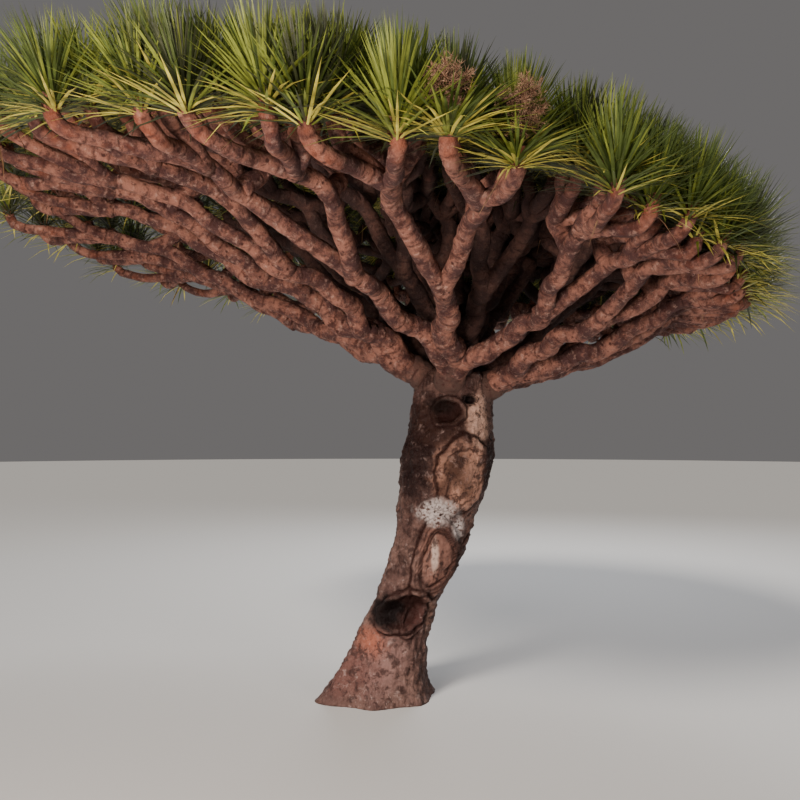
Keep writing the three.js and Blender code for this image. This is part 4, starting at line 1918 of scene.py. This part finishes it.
@dataclass
class Foliage:
    """The rosettes of sword leaves on the twigs' ends.

    A leaf's place in its rosette runs from 0, for the outermost, to 1, for the innermost.
    """

    DOWN = np.array([0.0, 0.0, -1.0])

    tufts: list[Tuft]
    dome: Dome
    leaves: int = 150
    # Degrees between a leaf and the way that its rosette faces
    outer_lean: float = 92
    inner_lean: float = 5
    lean_curve: float = 0.8
    lean_jitter: float = 7
    dry_lean: tuple[float, float] = (110, 150)
    # How far a leaf may point down
    lowest: tuple[float, float] = (-0.24, 0.22)
    lowest_jitter: float = 0.10
    dry_lowest: float = -0.85
    length: float = 0.41
    length_fall: float = 0.10
    length_swing: float = 0.18
    dry_length: float = 0.8
    width: float = 0.0155
    width_fall: float = 0.3
    width_low: float = 0.85
    width_swing: float = 0.3
    dry_width: float = 0.7
    bends: tuple[float, float] = (-0.05, 0.85)
    bend_jitter: float = 0.05
    seat_low: float = -0.10
    seat_high: float = 0.04
    seat_radius: float = 0.038
    seat_fall: float = 0.6
    dry_share: float = 0.3
    flowering_share: float = 0.45
    # How often the innermost leaves are deep, green and bright, and the shares of the rest
    inner_shares: Triple = (0.18, 0.46, 0.36)
    green_share: float = 0.25
    bright_from: float = 0.80
    outer_part: tuple[float, float] = (0.08, 0.3)
    gold_share: float = 0.6
    # A leaf in the outer part that points less far out of the crown than this is painted deep, as shade
    shade_part: float = 0.55
    shade_out: float = 0.25
    out_lift: float = 0.35

    def grow(self, tufts: Sequence[Tuft]) -> tuple[LeafRows, np.ndarray]:
        """Works out every leaf of some rosettes.

        Args:
            tufts: where the rosettes sit.

        Returns:
            The leaves, and the number of the tone that each is dealt.
        """
        parts = [self.grow_tuft(tuft) for tuft in tufts]
        names = list(LeafRows.__dataclass_fields__)
        rows = LeafRows(*(np.concatenate([getattr(p[0], n) for p in parts]) for n in names))
        return rows, np.concatenate([p[1] for p in parts])

    def grow_tuft(self, tuft: Tuft) -> tuple[LeafRows, np.ndarray]:
        """Works out the leaves of one rosette.

        Args:
            tuft: where it sits.

        Returns:
            Its leaves, and the number of the tone that each is dealt.
        """
        luck = np.random.default_rng(tuft.seed)
        dry_leaves = int(luck.random() < self.dry_share)
        total = self.leaves + dry_leaves
        t = np.concatenate([np.linspace(0, 1, self.leaves), np.zeros(dry_leaves)])
        is_dry = np.arange(total) >= self.leaves
        axis = np.array(tuft.axis)
        right = square_to(axis)
        over = np.cross(axis, right)
        turn = GOLDEN_TURN * np.arange(total) + luck.uniform(0, FULL_TURN)
        out = np.cos(turn)[:, None] * right + np.sin(turn)[:, None] * over
        if tuft.is_flowering:
            t = t * self.flowering_share
        ways = self.ways(t, is_dry, axis, out, luck)
        sags = self.sags(ways, out)
        seat = self.seat_low + (self.seat_high - self.seat_low) * t
        ring = self.seat_radius * (1 - self.seat_fall * t)
        bases = np.array(tuft.tip) + axis * seat[:, None] + out * ring[:, None]
        lengths = self.length * (1 - self.length_fall * t**2)
        lengths *= (1 - self.length_swing * luck.random(total)) * np.where(is_dry, self.dry_length, 1)
        widths = self.width * (1 - self.width_fall * t)
        widths *= self.width_low + self.width_swing * luck.random(total)
        widths *= np.where(is_dry, self.dry_width, 1)
        bends = (1 - t) * luck.uniform(*self.bends, total)
        bends += luck.normal(0, self.bend_jitter, total)
        rows = LeafRows(bases, ways, sags, lengths, widths, bends)
        way_out = (tuft.tip - self.dome.middle).normalized() + UP * self.out_lift
        outward = ways @ np.array(way_out.normalized())
        return rows, self.deal(t, outward, is_dry, luck)

    def ways(
        self,
        t: np.ndarray,
        is_dry: np.ndarray,
        axis: np.ndarray,
        out: np.ndarray,
        luck: np.random.Generator,
    ) -> np.ndarray:
        """Points the leaves of a rosette, the outer ones level and the dry ones down.

        Args:
            t: each leaf's place.
            is_dry: which leaves are dry.
            axis: the unit vector that the rosette faces.
            out: the unit vector from its middle towards each leaf.
            luck: the rosette's own chance.

        Returns:
            The unit vector along each leaf.
        """
        lean = self.outer_lean + (self.inner_lean - self.outer_lean) * t**self.lean_curve
        lean = lean + luck.normal(0, self.lean_jitter, len(t))
        lean = np.radians(np.where(is_dry, luck.uniform(*self.dry_lean, len(t)), lean))
        ways = np.cos(lean)[:, None] * axis + np.sin(lean)[:, None] * out
        lowest = luck.uniform(*self.lowest) + self.lowest_jitter * luck.standard_normal(len(t))
        ways[:, 2] = np.maximum(ways[:, 2], np.where(is_dry, self.dry_lowest, lowest))
        return ways / np.linalg.norm(ways, axis=1, keepdims=True)

    def sags(self, ways: np.ndarray, out: np.ndarray) -> np.ndarray:
        """Which way each leaf bends: down, or out where it stands upright.

        Args:
            ways: the unit vector along each leaf.
            out: the unit vector from the rosette's middle towards each leaf.

        Returns:
            A unit vector for each leaf, square to it.
        """
        sags = self.DOWN - ways * -ways[:, 2:3]
        size = np.linalg.norm(sags, axis=1, keepdims=True)
        sags = np.where(size > PARALLEL, sags / np.maximum(size, TINY), out)
        sags -= ways * np.sum(sags * ways, axis=1, keepdims=True)
        return sags / np.linalg.norm(sags, axis=1, keepdims=True)

    def deal(
        self, t: np.ndarray, outward: np.ndarray, is_dry: np.ndarray, luck: np.random.Generator
    ) -> np.ndarray:
        """Deals a tone to each leaf of a rosette: yellow outside, and the deep tone as painted shade
        where it points into the crown.

        Args:
            t: each leaf's place.
            outward: how far each leaf points out of the crown, from -1 to 1.
            is_dry: which leaves are dry.
            luck: the rosette's own chance.

        Returns:
            The number of each leaf's tone.
        """
        deep, green, bright, gold, dry = range(len(LeafTone))
        inner = luck.choice([deep, green, bright], p=self.inner_shares)
        tone = np.full(len(t), inner)
        mixed = luck.random(len(t))
        tone = np.where(mixed < self.green_share, green, tone)
        tone = np.where(mixed > self.bright_from, bright, tone)
        outer = t < luck.uniform(*self.outer_part)
        tone = np.where(outer & (mixed < self.gold_share), gold, tone)
        # Painted shade: outer leaves that point into the crown get the deep tone
        tone = np.where((outward < self.shade_out) & (t < self.shade_part), deep, tone)
        return np.where(is_dry, dry, tone)

    def build(self) -> list[bpy.types.Object]:
        """Models the leaves and joins them, each tone apart in each ring.

        Returns:
            The pieces.
        """
        blank = LeafBlank()
        finishes = {tone: LeafFinish(tone).material() for tone in LeafTone}
        pieces = []
        for ring in sorted({tuft.ring for tuft in self.tufts}):
            rows, tones = self.grow([tuft for tuft in self.tufts if tuft.ring == ring])
            for number, tone in enumerate(LeafTone):
                chosen = rows.chosen(tones == number)
                points = chosen.corners(blank)
                starts = np.arange(len(chosen.lengths))[:, None, None] * len(blank.corners)
                triangles = (blank.faces[None] + starts).reshape(-1, 3)
                name = f"leaves_{ring}_{tone.name.lower()}"
                piece = add_piece(name, mesh_of(name, points, triangles), finishes[tone])
                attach(piece, BODY)
                pieces.append(piece)
        return pieces


@dataclass
class Sticks:
    """Thin stalks, added one by one and modelled together."""

    # The faces of one stick: three sides that meet at its tip, and its end
    FACES = np.array([[0, 1, 3], [1, 2, 3], [2, 0, 3], [0, 2, 1]])

    rows: list[tuple[np.ndarray, np.ndarray, float]] = field(default_factory=list)

    def add(self, start: np.ndarray, end: np.ndarray, radius: float) -> None:
        """Adds a stick from one point to another, with its radius at its start."""
        self.rows.append((start, end, radius))

    def mesh(self, name: str) -> bpy.types.Mesh:
        """Models every stick with three sides, drawn to a point.

        Args:
            name: the mesh's name.

        Returns:
            One mesh of them all.
        """
        starts, ends, radii = (np.array(part) for part in zip(*self.rows))
        way = ends - starts
        way /= np.linalg.norm(way, axis=1, keepdims=True)
        right = square_to(way)
        over = np.cross(way, right)
        corners = []
        for turn in (0, FULL_TURN / 3, 2 * FULL_TURN / 3):
            out = right * math.cos(turn) + over * math.sin(turn)
            corners.append(starts + out * radii[:, None])
        points = np.stack([*corners, ends], axis=1)
        first = np.arange(len(starts))[:, None, None] * points.shape[1]
        return mesh_of(name, points.reshape(-1, 3), (self.FACES[None] + first).reshape(-1, 3))


@dataclass
class FlowerHeads:
    """Old flower heads: dry stalks that fork into a fuzzy cone above a rosette."""

    SEED_STEP = 7

    tufts: list[Tuft]
    dome: Dome
    # Bearing, rise and length of stalk of each head
    spots: tuple[Triple, ...] = (
        (-7, 16, 0.13),
        (1, 17, 0.20),
        (60, 40, 0.24),
        (112, 22, 0.24),
        (168, 30, 0.24),
        (215, 50, 0.24),
        (262, 20, 0.24),
        (310, 38, 0.24),
    )
    branches: int = 64
    branch: float = 0.135
    branch_from: float = 0.50
    branch_lift: float = 0.9
    branch_spread: float = 0.65
    branch_low: float = 0.7
    twiglets: int = 30
    twiglet: float = 0.042
    twiglet_from: float = 0.2
    twiglet_lift: float = 0.6
    twiglet_spread: float = 0.6
    twiglet_low: float = 0.6
    # Radii of the stalk, its branches and their twiglets
    radii: Triple = (0.0063, 0.00294, 0.0021)

    def choose(self) -> None:
        """Picks the rosette that lies nearest each spot on the crown, and gives it a stalk."""
        for bearing, rise, stalk in self.spots:
            way = self.dome.way(bearing, rise)
            hub = self.dome.middle
            tuft = max(self.tufts, key=lambda t: (t.tip - hub).normalized().dot(way))
            tuft.stalk = stalk

    def build(self) -> bpy.types.Object:
        """Models every head and joins them.

        Returns:
            The piece.
        """
        sticks = Sticks()
        for tuft in self.tufts:
            if tuft.is_flowering:
                self.grow_head(tuft, sticks)
        piece = add_piece("old_flowers", sticks.mesh("old_flowers"), HeadFinish().material())
        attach(piece, BODY)
        return piece

    def grow_head(self, tuft: Tuft, sticks: Sticks) -> None:
        """Adds the stalks of one head.

        Args:
            tuft: the rosette that it stands in.
            sticks: where they are added.
        """
        luck = np.random.default_rng(tuft.seed + self.SEED_STEP)
        axis = np.array(tuft.axis)
        low = np.array(tuft.tip)
        top = low + axis * tuft.stalk
        stalk_radius, branch_radius, twiglet_radius = self.radii
        sticks.add(low, top, stalk_radius)
        for number in range(self.branches):
            share = self.branch_from + (1 - self.branch_from) * number / self.branches
            seat = low + (top - low) * share
            way = axis * luck.uniform(0, self.branch_lift) + luck.normal(0, self.branch_spread, 3)
            way /= np.linalg.norm(way)
            tip = seat + way * self.branch * luck.uniform(self.branch_low, 1)
            sticks.add(seat, tip, branch_radius)
            for _ in range(self.twiglets):
                at = seat + (tip - seat) * luck.uniform(self.twiglet_from, 1)
                aside = way * self.twiglet_lift + luck.normal(0, self.twiglet_spread, 3)
                aside /= np.linalg.norm(aside)
                end = at + aside * self.twiglet * luck.uniform(self.twiglet_low, 1)
                sticks.add(at, end, twiglet_radius)


# The studio


@dataclass
class Studio:
    """Plain pale floor, soft lights and the camera."""

    # The camera's place, its upward tilt in degrees, its lens and sensor in millimetres, and the
    # point that the lights face
    eye: Triple = (0.092, -6.15, 1.96)
    pitch: float = math.degrees(math.atan2(35, 800))
    lens: float = 36
    sensor: float = 36
    lit: Triple = (0.3, 0.0, 2.4)
    floor_radius: float = 60
    # Light from all round: its colour and strength
    glow: Colour = (0.91, 0.87, 0.86)
    glow_strength: float = 0.17
    sun_width: float = 14

    def build(self) -> None:
        """Makes the floor, the lights and the light from all round."""
        self.add_floor()
        self.add_sun("key", (-4.5, -6.8, 9.0), 4.9, (1.0, 0.94, 0.86))
        self.add_light("front", (-2.2, -5.9, 1.7), 1.5, 400, (1.0, 0.84, 0.74))
        self.add_light("fill", (6.5, -6.0, 4.6), 3.0, 200, (1.0, 0.93, 0.88))
        self.add_light("back", (3.0, 8.0, 9.0), 4.0, 1300, (0.92, 0.95, 1.0))
        world = bpy.data.worlds.new("studio")
        world.use_nodes = True
        backdrop = world.node_tree.nodes["Background"]
        backdrop.inputs["Color"].default_value = (*self.glow, 1.0)
        backdrop.inputs["Strength"].default_value = self.glow_strength
        bpy.context.scene.world = world

    def add_camera(self) -> None:
        """Makes the camera at the height, distance and tilt that the tree is seen from."""
        data = bpy.data.cameras.new("camera")
        data.lens = self.lens
        data.sensor_width = self.sensor
        camera = bpy.data.objects.new("camera", data)
        camera.location = self.eye
        camera.rotation_euler = (math.radians(90 + self.pitch), 0, 0)
        bpy.context.scene.collection.objects.link(camera)
        bpy.context.scene.camera = camera

    def add_floor(self) -> None:
        """Makes the floor."""
        bpy.ops.object.select_all(action="DESELECT")
        bpy.ops.mesh.primitive_circle_add(vertices=64, radius=self.floor_radius, fill_type="NGON")
        floor = bpy.context.active_object
        floor.name = "floor"
        floor.data.materials.append(FloorFinish().material())

    def add_sun(self, name: str, place: Triple, strength: float, colour: Colour) -> None:
        """Makes a soft light that is as strong far off as it is near.

        Args:
            name: its name.
            place: where it shines from.
            strength: its power for each square metre.
            colour: its colour.
        """
        data = bpy.data.lights.new(name, "SUN")
        data.angle = math.radians(self.sun_width)
        data.energy = strength
        self.aim_light(data, place, colour)

    def add_light(
        self, name: str, place: Triple, size: float, power: float, colour: Colour
    ) -> None:
        """Makes a square soft light.

        Args:
            name: its name.
            place: where it hangs.
            size: the length of its side.
            power: its power in watts.
            colour: its colour.
        """
        data = bpy.data.lights.new(name, "AREA")
        data.size = size
        data.energy = power
        self.aim_light(data, place, colour)

    def aim_light(self, data: bpy.types.Light, place: Triple, colour: Colour) -> None:
        """Sets a light down so that it faces the crown.

        Args:
            data: the light.
            place: where it hangs.
            colour: its colour.
        """
        data.color = colour
        light = bpy.data.objects.new(data.name, data)
        light.location = place
        aim = Vector(self.lit) - Vector(place)
        light.rotation_mode = "QUATERNION"
        light.rotation_quaternion = aim.to_track_quat("-Z", "Y")
        bpy.context.scene.collection.objects.link(light)


def report(pieces: Iterable[bpy.types.Object]) -> None:
    """Logs each piece and its size in triangles."""
    for piece in pieces:
        log.info("%s: %d triangles", piece.name, len(triangles_of(piece.data)))


def main() -> None:
    """Builds the tree and the studio in order."""
    logging.basicConfig(level=logging.INFO, format="%(message)s")
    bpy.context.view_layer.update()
    studio = Studio()
    studio.add_camera()
    skeleton = Skeleton()
    boughs = skeleton.boughs()
    report([Trunk().build()])
    finishes = {side: LimbBark(side).material() for side in Side}
    report(Boughs(skeleton, boughs, finishes).build())
    twigs = Twigs(skeleton, boughs, finishes)
    twigs.grow()
    report(twigs.build())
    heads = FlowerHeads(twigs.tufts, skeleton.dome)
    heads.choose()
    report(Foliage(twigs.tufts, skeleton.dome).build())
    report([heads.build()])
    studio.build()


if __name__ == "__main__":
    main()
